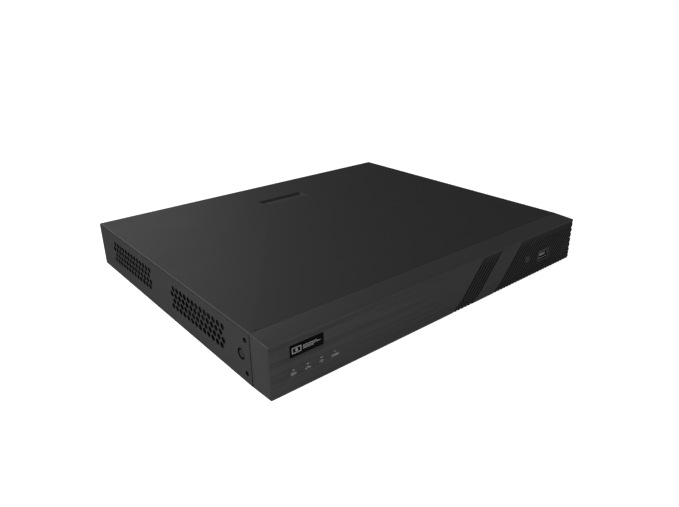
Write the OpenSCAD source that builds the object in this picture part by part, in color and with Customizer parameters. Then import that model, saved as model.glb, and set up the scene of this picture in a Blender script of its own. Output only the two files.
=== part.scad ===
// Digital video recorder for security cameras, a low wide box with a moulded front bezel.
// The folded cover lifts off a tray that holds two hard drives, a main board and a fan.
// Millimetres, +Z up, front face towards -Y, origin under the centre of the whole outline.

/* [Case] */
// Width over the side walls of the cover
case_w = 380; // [370:1:400]
// Depth from the front face to the back of the cover
case_d = 315; // [315:1:330]
// Height of the case without its feet
case_h = 44.4; // [44.4:0.1:46]
// Height of the rubber feet
foot_h = 7.6; // [5:0.1:10]
// Thickness of the folded sheet metal
sheet = 1; // [0.8:0.1:1.2]
// How far the camera sockets reach behind the cover
rear_reach = 10; // [9:1:14]

/* [Bezel] */
// Depth of the moulded bezel
bezel_d = 22.3; // [20:0.1:24]
// How much the front face is drawn in at each side and at the top
bezel_draft = 1.5; // [0.5:0.1:2]
// Wall of the moulded bezel
bezel_wall = 2.2; // [2:0.1:3]
// Foot of the slanted ribbed band's left edge on the front face
band_left = -1; // [-10:1:5]
// Width of the slanted ribbed band
band_w = 28; // [20:1:32]
// Foot of the ribbed end field's left edge
field_left = 56.6; // [50:0.1:70]
// Pitch of the ribs along the width
rib_pitch = 4.7; // [4:0.1:6]
// Width of each groove between ribs, along the width
groove_w = 1.9; // [1:0.1:2.4]
// Depth of the grooves
groove_depth = 0.9; // [0.4:0.1:1]

/* [Front controls] */
// Middle of the black window across the front
window_x = -157; // [-160:1:-140]
// Middle of the black window above the case's bottom
window_z = 32.3; // [30:0.1:34]
// Width of the black window
window_w = 30; // [24:1:34]
// Height of the black window
window_h = 10.2; // [8:0.1:12]
// Left-most status light
light_x = -169.4; // [-172:0.1:-160]
// Pitch of the status lights
light_pitch = 12.5; // [10:0.1:13]
// Height of the status lights above the case's bottom
light_z = 17; // [14:0.1:20]
// Middle of the round button across the front
button_x = 111.8; // [105:0.1:115]
// Middle of the round button above the case's bottom
button_z = 19.6; // [18:0.1:22]
// Diameter of the round button
button_d = 8; // [6:0.1:9]
// How far the button is pressed in
button_travel = 0.6; // [0.3:0.1:0.8]
// Middle of the front USB port across the front
usb_x = 138.8; // [130:0.1:145]
// Middle of the front USB port above the case's bottom
usb_z = 16.8; // [15:0.1:22]

/* [Cover] */
// Diameter of the round vent holes
vent_d = 4.8; // [3:0.1:5]
// Pitch of the vent holes along a row
vent_pitch = 6.9; // [6.5:0.1:7]
// Distance between two rows of vent holes
vent_row = 5.85; // [5.6:0.05:6]
// Vent holes in a row
vent_columns = 13; // [4:1:13]
// Rows of vent holes
vent_rows = 4; // [2:1:4]
// Width of the finger recess in the top
grip_w = 59; // [40:1:70]
// Length of the finger recess, from its ramp's start to its back wall
grip_l = 21; // [15:1:25]
// Depth of the finger recess at its back wall
grip_drop = 2.4; // [1.5:0.1:3]
// Height between the two rack-ear holes at each side
ear_spacing = 27.9; // [26:0.1:29]
// Diameter of the rack-ear holes
ear_hole_d = 4.2; // [3.2:0.1:4.4]

/* [Rear panel] */
// Pitch of the camera sockets
bnc_pitch = 15.5; // [15:0.1:15.5]
// Camera sockets in a row
bnc_columns = 8; // [4:1:8]
// Middle of the fan across the rear panel
fan_x = 163; // [160:1:164]
// Side of the square fan
fan_side = 40; // [38:1:40]
// Half of the rocker switch's swing
rocker_tilt = 7; // [4:1:8]

/* [Drives] */
// Width of a hard drive
drive_w = 101.6; // [100:0.1:102]
// Length of a hard drive
drive_l = 147; // [145:0.1:147]
// Height of a hard drive
drive_h = 26.1; // [20:0.1:26.1]
// Middle of the first drive across the case
drive_x = -119; // [-122:1:-118]
// Distance between the two drives' middles
drive_step = 115; // [112:1:120]

/* [Hidden] */
$fn = 48;
eps = 0.5;
half_w = case_w / 2;
front_y = -(case_d + rear_reach) / 2;
rear_y = front_y + case_d;
bezel_y = front_y + bezel_d;
floor_z = foot_h;
top_z = foot_h + case_h;
gap = 0.3;
cover_y = bezel_y + 0.2;

// rear panel plate, set in from the back of the cover by the thickness of the cover's tabs
panel_out = rear_y - sheet - gap;
panel_in = panel_out - sheet;
panel_low = floor_z + sheet;
tab_xs = [-172, -14, 100];
tab_h = 9;
tab_screw_z = top_z - 4.8;
panel_screw_xs = [-175, 0, 132];

// side walls
ear_y = front_y + 28.8;
ear_z = floor_z + 22.25;
side_screw_y = front_y + 35.2;
side_screw_z = floor_z + 22;
dimple_d = 9.5;
dimple_depth = 1.2;
ear_in = half_w - 3.6;
ear_out = ear_in + sheet;
vent_first_ys = [front_y + 60.8, front_y + 192.6];
vent_low_z = floor_z + 15.55;
grip_back = front_y + 266.5;

// boards
board_under = floor_z + sheet + 6;
board_t = 1.6;
board_top = board_under + board_t;
board_x0 = -160;
board_x1 = 126;
board_y0 = 34;
board_y1 = panel_in - 0.4;
standoff_xs = [-150, -18, 118];
standoff_ys = [42, 118];
chip_x = 20;
chip_y = 82;
led_board_y = front_y + 10.5;
usb_board_y = front_y + 15.5;
socket_y = board_y0 + 14;
data_x = -32;
supply_x = -12;

// drives, held on raised bosses of the tray by their lowest threaded holes
drive_y0 = bezel_y + 8.2;
drive_y1 = drive_y0 + drive_l;
drive_z0 = floor_z + sheet + 3;
drive_z1 = drive_z0 + drive_h;
drive_hole_x = 47.625;
drive_hole_ys = [drive_y1 - 41.28, drive_y1 - 117.48];

// rear sockets
bnc_x0 = -142.25;
bnc_zs = [board_top + 6.3, board_top + 22.3];
bnc_tip = rear_y + rear_reach;
bnc_back = panel_in - 14;
rca_x = -14;
rca_zs = [board_top + 6.3, board_top + 20.3];
vga_x = 15.5;
hdmi_x = 43;
lan_x = 62;
usb_rear_x = 80;
alarm_x = 100;
power_x = 119;
rocker_x = 133.5;
rocker_z = floor_z + 24;
rocker_y = panel_out - 1.4;
ground_x = -174;
ground_z = floor_z + 9;

// fan, measured from the inside of the rear panel
fan_z = floor_z + 22.1;
fan_t = 10;
fan_hole = 16;
fan_y = panel_in - 0.05;

foot_xs = [-165, 165];
foot_ys = [front_y + 38, rear_y - 32];
bezel_boss_xs = [-108, -20, 72, 172];
bezel_boss_z = floor_z + 33;

// ---- shared shapes ----

// Box between two corners
module block(low, high) {
    translate(low)
        cube(high - low);
}

// Turns a shape that stands along Z so that it lies along X, or along Y
module along_x() {
    rotate([0, 90, 0])
        children();
}

module along_y() {
    rotate([-90, 0, 0])
        children();
}

module rod_x(x0, x1, y, z, r) {
    translate([x0, y, z])
        along_x()
            cylinder(r = r, h = x1 - x0);
}

module rod_y(x, y0, y1, z, r) {
    translate([x, y0, z])
        along_y()
            cylinder(r = r, h = y1 - y0);
}

module rod_z(x, y, z0, z1, r) {
    translate([x, y, z0])
        cylinder(r = r, h = z1 - z0);
}

// Outline given across the width and up, drawn out from y0 to y1
module drawn_y(y0, y1) {
    translate([0, y1, 0])
        rotate([90, 0, 0])
            linear_extrude(y1 - y0)
                children();
}

// Outline given from front to back and up, drawn out from x0 to x1
module drawn_x(x0, x1) {
    translate([x0, 0, 0])
        rotate([90, 0, 90])
            linear_extrude(x1 - x0)
                children();
}

// Rectangle with round corners, by its middle
module soft_rect(w, h, r) {
    square([w, h - 2 * r], center = true);
    square([w - 2 * r, h], center = true);
    for (i = [-1, 1], j = [-1, 1])
        translate([i * (w / 2 - r), j * (h / 2 - r)])
            circle(r);
}

// Flat strip through a list of points, as an outline with round bends
module strip(points, t) {
    for (i = [0 : len(points) - 2]) {
        step = points[i + 1] - points[i];
        translate(points[i])
            rotate(atan2(step[1], step[0]))
                translate([0, -t / 2])
                    square([norm(step), t]);
    }
    for (i = [1 : len(points) - 2])
        translate(points[i])
            circle(d = t, $fn = 24);
}

// Round wire through a list of points, with a slightly larger ball at each bend
module wire(points, r) {
    for (i = [0 : len(points) - 2]) {
        step = points[i + 1] - points[i];
        reach = norm(step);
        translate(points[i])
            rotate([0, acos(step[2] / reach), atan2(step[1], step[0])])
                cylinder(r = r, h = reach, $fn = 24);
    }
    for (i = [1 : len(points) - 2])
        translate(points[i])
            sphere(r = 1.05 * r, $fn = 24);
}

// Pan-head screw whose head sits on z = 0 and whose shank points down
module screw(head_r, head_h, shank_r, length) {
    cylinder(r = head_r, h = head_h);
    translate([0, 0, -length])
        cylinder(r = shank_r, h = length + 0.1);
}

// Slanted stripe of the front face: its foot is at x = left on the case's bottom, and it leans right at 45 degrees
module stripe(left, w) {
    translate([left, floor_z])
        polygon([[-10, -10], [w - 10, -10], [w + case_h + 10, case_h + 10], [case_h + 10, case_h + 10]]);
}

// ---- case ----

// Outline of the folded cover, with bent top corners
module cover_outline(half, low, high, r) {
    translate([-half, low])
        square([2 * half, high - low - r]);
    translate([r - half, low])
        square([2 * (half - r), high - low]);
    for (s = [-1, 1])
        translate([s * (half - r), high - r])
            circle(r);
}

module vent_holes() {
    for (first = vent_first_ys, row = [0 : vent_rows - 1], i = [0 : vent_columns - 1])
        rod_x(-half_w - 1, half_w + 1, first + (row % 2 == 0 ? 3.4 : 0) + i * vent_pitch,
              vent_low_z + row * vent_row, vent_d / 2);
}

// Ramp pressed into the top, sharp at the back
module grip_ramp(drop, ease, side) {
    start = grip_back - grip_l;
    drawn_x(-grip_w / 2 - side, grip_w / 2 + side)
        polygon([[start - ease, top_z - ease / 2], [grip_back + side, top_z - drop],
                 [grip_back + side, top_z + 1 - 1.5 * side], [start - ease, top_z + 1 - 1.5 * side]]);
}

module top_cover() {
    color("#3b3c3d")
    difference() {
        union() {
            difference() {
                drawn_y(cover_y, rear_y)
                    cover_outline(half_w, floor_z, top_z, 2);
                drawn_y(cover_y - 1, rear_y + 1)
                    cover_outline(half_w - sheet, floor_z - 1, top_z - sheet, 1);
            }
            grip_ramp(grip_drop + sheet, 2, sheet);
            for (x = tab_xs)
                block([x - 7, rear_y - sheet, top_z - tab_h], [x + 7, rear_y, top_z - eps]);
            for (s = [-1, 1])
                scale([s, 1, 1])
                    rod_x(half_w - sheet - dimple_depth, half_w - eps, side_screw_y, side_screw_z,
                          dimple_d / 2 + sheet);
        }
        grip_ramp(grip_drop, 0, 0);
        vent_holes();
        for (s = [-1, 1])
            scale([s, 1, 1]) {
                rod_x(half_w - dimple_depth, half_w + 1, side_screw_y, side_screw_z, dimple_d / 2);
                rod_x(half_w - 6, half_w + 1, side_screw_y, side_screw_z, 1.7);
                for (d = [-0.5, 0.5])
                    rod_x(half_w - 2, half_w + 1, ear_y, ear_z + d * ear_spacing, ear_hole_d / 2);
                rod_z(half_w - 7, cover_y, top_z - 2, top_z + 1, 0.9);
            }
        for (x = tab_xs)
            rod_y(x, rear_y - 2, rear_y + 1, tab_screw_z, 1.7);
    }
}

module chassis_tray() {
    tray_half = half_w - sheet - gap;
    tray_y = cover_y + 0.1;
    color("#b9bcc0")
    difference() {
        union() {
            block([-tray_half, tray_y, floor_z], [tray_half, rear_y - gap - sheet, floor_z + sheet]);
            block([-ear_out, tray_y, floor_z], [ear_out, tray_y + sheet, top_z - 2]);
            for (s = [-1, 1])
                scale([s, 1, 1]) {
                    block([tray_half - sheet, tray_y + 32, floor_z], [tray_half, rear_y - 16, floor_z + 11]);
                    block([ear_in, tray_y, floor_z], [ear_out, tray_y + 24, top_z - 3]);
                }
            for (i = [0, 1], s = [-1, 1], y = drive_hole_ys)
                rod_z(drive_x + i * drive_step + s * drive_hole_x, y, floor_z, drive_z0, 5);
        }
        for (i = [0, 1], s = [-1, 1], y = drive_hole_ys)
            rod_z(drive_x + i * drive_step + s * drive_hole_x, y, floor_z - 1, drive_z0 + 1, 1.8);
        for (s = [-1, 1])
            scale([s, 1, 1]) {
                for (d = [-0.5, 0.5])
                    rod_x(ear_in - 1, ear_out + 1, ear_y, ear_z + d * ear_spacing, ear_hole_d / 2);
                rod_x(ear_in - 1, ear_out + 1, side_screw_y, side_screw_z, 1.9);
                block([ear_in - 1, side_screw_y - 1.9, side_screw_z],
                      [ear_out + 1, side_screw_y + 1.9, top_z]);
            }
        for (x = [-100, 117])
            block([x - 12, tray_y - 1, floor_z + 5], [x + 12, tray_y + 2, floor_z + 27]);
        for (x = bezel_boss_xs)
            rod_y(x, tray_y - 1, tray_y + 2, bezel_boss_z, 1.7);
        for (x = foot_xs, y = foot_ys)
            rod_z(x, y, floor_z - 1, floor_z + 2, 1.7);
        for (x = panel_screw_xs)
            rod_z(x, panel_in - 6, floor_z - 1, floor_z + 2, 1.7);
        for (x = standoff_xs, y = standoff_ys)
            rod_z(x, y, floor_z - 1, floor_z + 2, 2);
    }
}

// Openings for every socket, the fan and the switch
module panel_openings() {
    for (i = [0 : bnc_columns - 1], z = bnc_zs)
        rod_y(bnc_x0 + i * bnc_pitch, panel_in - 1, panel_out + 1, z, 5.9);
    for (z = rca_zs)
        rod_y(rca_x, panel_in - 1, panel_out + 1, z, 4.6);
    drawn_y(panel_in - 1, panel_out + 1) {
        translate([vga_x, board_top + 6.3])
            soft_rect(17.4, 9.2, 2);
        translate([hdmi_x, board_top + 3])
            square([15.4, 6], center = true);
        translate([lan_x, board_top + 6.9])
            square([16.4, 13.8], center = true);
        translate([usb_rear_x, board_top + 7.9])
            square([13.7, 15.8], center = true);
        translate([alarm_x, board_top + 6])
            square([22.4, 12.4], center = true);
        translate([power_x, board_top + 5.6])
            square([9.4, 11.4], center = true);
        translate([rocker_x, rocker_z])
            square([12, 16.8], center = true);
    }
    rod_y(ground_x, panel_in - 1, panel_out + 1, ground_z, 2.1);
    for (s = [-1, 1], t = [-1, 1])
        rod_y(fan_x + s * fan_hole, panel_in - 1, panel_out + 1, fan_z + t * fan_hole, 1.7);
    for (i = [-4 : 4], j = [-4 : 4]) {
        x = 4.4 * (i + j / 2);
        z = 4.4 * j * sin(60);
        if (norm([x, z]) < 16.5)
            rod_y(fan_x + x, panel_in - 1, panel_out + 1, fan_z + z, 1.8);
    }
    for (x = tab_xs) {
        rod_y(x, panel_in - 1, panel_out + 1, tab_screw_z, 1.9);
        block([x - 1.9, panel_in - 1, tab_screw_z], [x + 1.9, panel_out + 1, top_z]);
    }
}

module rear_panel() {
    color("#2c2d2e")
    difference() {
        union() {
            block([1.6 - half_w, panel_in, panel_low], [half_w - 1.6, panel_out, top_z - sheet - gap]);
            block([1.6 - half_w, panel_in - 11, panel_low], [fan_x - 22, panel_in + eps, panel_low + sheet]);
        }
        panel_openings();
        for (x = panel_screw_xs)
            rod_z(x, panel_in - 6, panel_low - 1, panel_low + 2, 1.5);
    }
}

module cover_side_screws() {
    color("#8d9094")
    for (s = [-1, 1])
        scale([s, 1, 1])
            translate([half_w - dimple_depth, side_screw_y, side_screw_z])
                along_x()
                    screw(3.4, dimple_depth - 0.1, 1.5, 6.2);
}

module cover_nuts() {
    color("#c9b26a")
    for (s = [-1, 1])
        scale([s, 1, 1])
            difference() {
                translate([ear_in - 2.8, side_screw_y, side_screw_z])
                    along_x()
                        cylinder(r = 3.2, h = 2.4, $fn = 6);
                rod_x(ear_in - 3, ear_in, side_screw_y, side_screw_z, 1.5);
            }
}

module cover_rear_screws() {
    color("#8d9094")
    for (x = tab_xs)
        translate([x, rear_y, tab_screw_z])
            along_y()
                screw(2.8, 1.6, 1.5, 5);
}

module ground_screw() {
    color("#c9b26a")
    translate([ground_x, panel_out, ground_z])
        along_y()
            screw(3.6, 2.4, 1.95, 5);
}

module rubber_feet() {
    color("#1b1b1c")
    for (x = foot_xs, y = foot_ys)
        translate([x, y, 0])
            difference() {
                rotate_extrude()
                    polygon([[0, 0], [8.2, 0], [9, 0.8], [10, foot_h], [0, foot_h]]);
                translate([0, 0, -1])
                    cylinder(r = 3.4, h = 4);
                cylinder(r = 1.7, h = foot_h + 1);
            }
}

// ---- front ----

// Outer form of the bezel, drawn in towards its front face
module bezel_form() {
    back = half_w - 0.4;
    intersection() {
        translate([0, 0, floor_z - 2])
            linear_extrude(case_h + 4)
                polygon([[-back, bezel_y], [bezel_draft - back, front_y], [back - bezel_draft, front_y],
                         [back, bezel_y]]);
        drawn_x(-half_w, half_w)
            polygon([[bezel_y, floor_z - 0.8], [bezel_y, top_z - 0.5], [front_y, top_z - bezel_draft],
                     [front_y, floor_z - 0.3]]);
    }
}

// Slanted band and end field, each sunk a little and cut by slanted grooves
module rib_grooves() {
    sunk = 0.3;
    drawn_y(front_y - 1, front_y + sunk) {
        stripe(band_left, band_w);
        stripe(field_left, case_w);
    }
    drawn_y(front_y - 1, front_y + groove_depth) {
        for (u = [band_left + 1.3 : rib_pitch : band_left + band_w - groove_w])
            stripe(u, groove_w);
        for (u = [field_left + 3.4 : rib_pitch : half_w])
            stripe(u, groove_w);
    }
}

// Plain pad round the USB port
module usb_pad() {
    drawn_y(front_y - 2, front_y + 2)
        translate([usb_x, floor_z + usb_z + 0.8])
            soft_rect(19.4, 11.6, 1.5);
}

module front_bezel() {
    color("#414243")
    difference() {
        union() {
            difference() {
                bezel_form();
                difference() {
                    rib_grooves();
                    usb_pad();
                }
                block([3.6 - half_w, front_y + bezel_wall, floor_z + 2], [half_w - 3.6, bezel_y + 1, top_z - 3.6]);
            }
            for (x = bezel_boss_xs)
                rod_y(x, front_y + bezel_wall - eps, bezel_y - 0.1, bezel_boss_z, 3.5);
            for (x = [-176, -126])
                rod_y(x, front_y + bezel_wall - eps, led_board_y, floor_z + 10, 2.4);
            for (x = [100, 156])
                rod_y(x, front_y + bezel_wall - eps, usb_board_y, floor_z + 28, 2.4);
        }
        drawn_y(front_y - 1, front_y + bezel_wall + 1) {
            translate([window_x, floor_z + window_z])
                soft_rect(window_w, window_h, 0.6);
            for (i = [0 : 3])
                translate([light_x + i * light_pitch, floor_z + light_z])
                    square([2.2, 0.8], center = true);
            translate([usb_x, floor_z + usb_z])
                soft_rect(14.4, 7.8, 0.5);
        }
        rod_y(button_x, front_y - 1, front_y + bezel_wall + 1, floor_z + button_z, button_d / 2 + 0.08);
        for (x = bezel_boss_xs)
            rod_y(x, bezel_y - 9, bezel_y + 1, bezel_boss_z, 1.3);
        for (x = [-176, -126])
            rod_y(x, led_board_y - 5, led_board_y + 1, floor_z + 10, 0.9);
        for (x = [100, 156])
            rod_y(x, usb_board_y - 5, usb_board_y + 1, floor_z + 28, 0.9);
    }
}

module front_window() {
    color("#050506")
    drawn_y(front_y + 0.1, front_y + bezel_wall)
        translate([window_x, floor_z + window_z])
            soft_rect(window_w - 0.1, window_h - 0.1, 0.55);
}

module light_pipes() {
    color("#e8ebef")
    for (i = [0 : 3])
        translate([light_x + i * light_pitch, 0, floor_z + light_z]) {
            block([-1, front_y, -0.25], [1, front_y + bezel_wall, 0.25]);
            block([-1.3, front_y + bezel_wall, -1], [1.3, led_board_y - 1.2, 1]);
        }
}

module status_leds() {
    color("#f4f1dc")
    for (i = [0 : 3])
        translate([light_x + i * light_pitch, led_board_y, floor_z + light_z])
            block([-1.6, -0.9, -0.8], [1.6, 0, 0.8]);
}

module remote_receiver() {
    color("#101012")
    translate([window_x, led_board_y, floor_z + window_z]) {
        block([-3, -4, -3.4], [3, 0, 3.4]);
        rod_y(0, -5.6, -3.9, 0, 2.3);
    }
}

module led_board() {
    color("#1e5b36")
    difference() {
        union() {
            block([-181, led_board_y, floor_z + 6], [-121, led_board_y + board_t, floor_z + 39]);
            block([-146, led_board_y + board_t, floor_z + 17], [-134, led_board_y + 6, floor_z + 22]);
        }
        for (x = [-176, -126])
            rod_y(x, led_board_y - 1, led_board_y + 3, floor_z + 10, 1.2);
    }
}

module usb_board() {
    color("#1e5b36")
    difference() {
        union() {
            block([94, usb_board_y, floor_z + 8], [162, usb_board_y + board_t, floor_z + 32]);
            block([117, usb_board_y + board_t, floor_z + 19], [129, usb_board_y + 5.6, floor_z + 24]);
        }
        for (x = [100, 156])
            rod_y(x, usb_board_y - 1, usb_board_y + 3, floor_z + 28, 1.2);
    }
}

module front_board_screws() {
    color("#8d9094") {
        for (x = [-176, -126])
            translate([x, led_board_y + board_t, floor_z + 10])
                along_y()
                    screw(1.9, 1.2, 0.9, 5);
        for (x = [100, 156])
            translate([x, usb_board_y + board_t, floor_z + 28])
                along_y()
                    screw(1.9, 1.2, 0.9, 5);
    }
}

// Screws from the tray's front wall into the bezel, and from under the tray into the rear panel
module case_screws() {
    color("#8d9094") {
        for (x = bezel_boss_xs)
            translate([x, cover_y + 0.1 + sheet, bezel_boss_z])
                along_y()
                    screw(2.8, 1.5, 1.3, 8);
        for (x = panel_screw_xs)
            translate([x, panel_in - 6, floor_z])
                rotate([180, 0, 0])
                    screw(2.8, 1.4, 1.5, 4);
    }
}

// Round cap with a retaining flange and a stem that meets the switch
module power_button() {
    stem_end = usb_board_y - 4.75;
    color("#414243")
    translate([button_x, 0, floor_z + button_z]) {
        rod_y(0, front_y, front_y + bezel_wall + 0.6, 0, button_d / 2);
        rod_y(0, front_y + bezel_wall + 0.1, front_y + bezel_wall + 1.1, 0, button_d / 2 + 1);
        rod_y(0, front_y + bezel_wall + 1, stem_end, 0, 1.8);
    }
}

module button_switch() {
    color("#1a1a1c")
    translate([button_x, usb_board_y, floor_z + button_z])
        difference() {
            block([-3, -3.5, -3], [3, 0, 3]);
            rod_y(0, -4, -1.4, 0, 1.62);
        }
}

module switch_plunger() {
    color("#d8d8d8")
    rod_y(button_x, usb_board_y - 4.7, usb_board_y - 2.4, floor_z + button_z, 1.55);
}

module front_usb_shell() {
    color("#c9ccd0")
    translate([0, 0, floor_z + usb_z])
        drawn_y(front_y + 0.5, usb_board_y)
            translate([usb_x, 0])
                difference() {
                    square([13.1, 5.9], center = true);
                    square([12.4, 5.2], center = true);
                }
}

module front_usb_tongue() {
    color("#f2f2ef")
    translate([usb_x, 0, floor_z + usb_z]) {
        block([-5.6, front_y + 1.6, 0.2], [5.6, usb_board_y - 2, 2.1]);
        block([-6.1, usb_board_y - 2, -2.5], [6.1, usb_board_y, 2.5]);
    }
}

// Ribbon on edge, from the LED board between the two drives to its header
module led_cable() {
    low = floor_z + 17.2;
    header_x = -60;
    header_y = board_y0 + 4.5;
    wall_y = cover_y + 0.1;
    color("#d7d7d2") {
        translate([0, 0, low])
            linear_extrude(4.6)
                strip([[-140, led_board_y + 6.1], [-140, wall_y - 3], [-100, wall_y - 3], [-100, wall_y + 4.4],
                       [header_x, wall_y + 4.4], [header_x, header_y]], 0.9);
        block([header_x - 5.5, board_y0 + 2.2, board_top + 6.1], [header_x + 5.5, board_y0 + 6.8, low + 6]);
    }
}

module usb_cable() {
    color("#222224")
    wire([[123, usb_board_y + 5.7, floor_z + 21.5], [123, bezel_y + 5.5, floor_z + 21.5],
          [102, bezel_y + 10, floor_z + 20], [96, bezel_y + 24, floor_z + 6], [96, 20, floor_z + 6],
          [92, board_y0 - 6, board_top + 5], [92, board_y0 + 3.6, board_top + 5]], 2);
}

// ---- inside ----

module main_board() {
    color("#1e5b36")
    difference() {
        union() {
            block([board_x0, board_y0, board_under], [board_x1, board_y1, board_top]);
            block([-66, board_y0 + 2, board_top], [-54, board_y0 + 7, board_top + 6]);
            block([87, board_y0 + 4, board_top], [97, board_y0 + 9, board_top + 7]);
        }
        for (x = standoff_xs, y = standoff_ys)
            rod_z(x, y, board_under - 1, board_top + 1, 1.6);
    }
}

module board_standoffs() {
    color("#c9b26a")
    for (x = standoff_xs, y = standoff_ys)
        difference() {
            union() {
                translate([x, y, floor_z + sheet])
                    cylinder(r = 3.2, h = board_under - floor_z - sheet, $fn = 6);
                rod_z(x, y, floor_z, floor_z + sheet + eps, 2);
            }
            rod_z(x, y, board_under - 4, board_under + 1, 1.3);
        }
}

module board_screws() {
    color("#8d9094")
    for (x = standoff_xs, y = standoff_ys)
        translate([x, y, board_top])
            screw(2.8, 1.6, 1.3, 5);
}

module video_chip() {
    color("#1c1c1e")
    block([chip_x - 15, chip_y - 15, board_top], [chip_x + 15, chip_y + 15, board_top + 2]);
}

module heat_sink() {
    low = board_top + 2;
    color("#2f3a44") {
        block([chip_x - 20, chip_y - 20, low], [chip_x + 20, chip_y + 20, low + 3]);
        for (i = [0 : 9])
            block([chip_x - 20 + i * 4.3, chip_y - 20, low + 2.5], [chip_x - 18.7 + i * 4.3, chip_y + 20, low + 14]);
    }
}

module memory_chips() {
    color("#1c1c1e")
    for (i = [0 : 3])
        block([chip_x - 25 + i * 15, chip_y - 40, board_top], [chip_x - 15 + i * 15, chip_y - 27, board_top + 1.1]);
}

module capacitors() {
    color("#23324a")
    for (i = [0 : 5])
        rod_z(62 + (i % 3) * 13, chip_y + (i < 3 ? -16 : 0), board_top, board_top + 12, 4);
}

module cell_holder() {
    color("#1a1a1c")
    difference() {
        rod_z(-120, 96, board_top, board_top + 5, 12);
        rod_z(-120, 96, board_top + 1.4, board_top + 6, 10.2);
    }
}

module coin_cell() {
    color("#c9ccd0")
    rod_z(-120, 96, board_top + 1.4, board_top + 4.6, 10);
}

// One upright data socket and one power socket behind each drive
module drive_sockets() {
    color("#1a1a1c")
    for (i = [0, 1]) {
        x = drive_x + i * drive_step;
        block([x + data_x - 8, socket_y, board_top], [x + data_x + 7, socket_y + 7, board_top + 8]);
        block([x + supply_x - 9, socket_y, board_top], [x + supply_x + 9, socket_y + 7, board_top + 8]);
    }
}

// Cast base of a drive, with its top edge set down for the lid
module drive_casting(x) {
    color("#9a9da1")
    difference() {
        block([x - drive_w / 2, drive_y0, drive_z0], [x + drive_w / 2, drive_y1, drive_z1 - 1.2]);
        block([x - drive_w / 2 + 5, drive_y0 + 8, drive_z0 - 1],
              [x + drive_w / 2 - 5, drive_y1 + 1, drive_z0 + 2.2]);
        for (s = [-1, 1], y = drive_hole_ys)
            rod_z(x + s * drive_hole_x, y, drive_z0 - 1, drive_z0 + 6, 1.4);
    }
    color("#9a9da1")
    for (s = [-1, 1], y = drive_hole_ys)
        difference() {
            rod_z(x + s * drive_hole_x, y, drive_z0, drive_z0 + 3, 3.1);
            rod_z(x + s * drive_hole_x, y, drive_z0 - 1, drive_z0 + 6, 1.4);
        }
}

module drive_lid(x) {
    color("#c4c6c9")
    difference() {
        union() {
            block([x - drive_w / 2 + 1, drive_y0 + 1, drive_z1 - 1.2],
                  [x + drive_w / 2 - 1, drive_y1 - 12, drive_z1 - 0.4]);
            rod_z(x, drive_y0 + 52, drive_z1 - 0.5, drive_z1, 40);
        }
        rod_z(x, drive_y0 + 52, drive_z1 - 0.25, drive_z1 + 1, 14);
    }
}

module drive_board(x) {
    color("#1e5b36") {
        block([x - 41, drive_y1 - 96, drive_z0 + 0.6], [x + 41, drive_y1 - 2, drive_z0 + 2]);
        block([x - 41, drive_y1 - 8, drive_z0 + 0.2], [x - 2, drive_y1 + 2, drive_z0 + 1.9]);
    }
}

module drive_screws() {
    color("#8d9094")
    for (i = [0, 1], s = [-1, 1], y = drive_hole_ys)
        translate([drive_x + i * drive_step + s * drive_hole_x, y, floor_z])
            rotate([180, 0, 0])
                screw(2.8, 1.4, 1.4, 8);
}

// Flat lead from a drive's edge, up and over to the upright socket behind it, with its two plugs
module drive_lead(x, w, plug_w, t, rise) {
    plug_z = drive_z0 + 1.5;
    drawn_x(x - w / 2, x + w / 2)
        strip([[drive_y1 + 8.5, plug_z], [drive_y1 + 13, plug_z], [drive_y1 + 14, board_top + rise],
               [socket_y + 3.5, board_top + rise], [socket_y + 3.5, board_top + 16]], t);
    block([x - plug_w / 2, drive_y1 + 2.2, plug_z - 2.5], [x + plug_w / 2, drive_y1 + 9, plug_z + 2.5]);
    block([x - plug_w / 2, socket_y + 0.5, board_top + 8.1], [x + plug_w / 2, socket_y + 6.5, board_top + 17]);
}

module drive_data_cables() {
    color("#b3322c")
    for (i = [0, 1])
        drive_lead(drive_x + i * drive_step + data_x, 8, 14, 2, 24);
}

module drive_power_cable() {
    color("#c8a021")
    for (i = [0, 1])
        drive_lead(drive_x + i * drive_step + supply_x, 10, 17, 1.8, 28);
}

// ---- rear sockets ----

module bnc_places() {
    for (i = [0 : bnc_columns - 1], z = bnc_zs)
        translate([bnc_x0 + i * bnc_pitch, 0, z])
            children();
}

module bnc_housing() {
    last = bnc_x0 + (bnc_columns - 1) * bnc_pitch;
    color("#1a1a1c")
    difference() {
        block([bnc_x0 - 7.5, bnc_back, board_top], [last + 7.5, panel_in - 0.1, bnc_zs[1] + 8]);
        bnc_places()
            rod_y(0, bnc_back - 1, panel_in + 1, 0, 4.8);
    }
}

// Bayonet barrel with two side lugs
module bnc_shells() {
    color("#c9ccd0")
    bnc_places()
        difference() {
            union() {
                rod_y(0, bnc_back, bnc_tip, 0, 4.8);
                rod_y(0, panel_in, panel_out + 1.2, 0, 5.8);
                rod_x(-5.5, 5.5, bnc_tip - 4.5, 0, 1);
            }
            rod_y(0, bnc_back + 1, bnc_tip + 1, 0, 4.1);
        }
}

module bnc_insulators() {
    color("#f2f2ef")
    bnc_places()
        difference() {
            union() {
                rod_y(0, bnc_back + 1, panel_in, 0, 4.1);
                rod_y(0, panel_in - 1, bnc_tip - 2.5, 0, 2.4);
            }
            rod_y(0, bnc_back, bnc_tip, 0, 0.65);
        }
}

module bnc_pins() {
    color("#d2ab45")
    bnc_places()
        difference() {
            rod_y(0, bnc_back + 1, bnc_tip - 2.5, 0, 0.65);
            rod_y(0, bnc_tip - 6, bnc_tip, 0, 0.4);
        }
}

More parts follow.
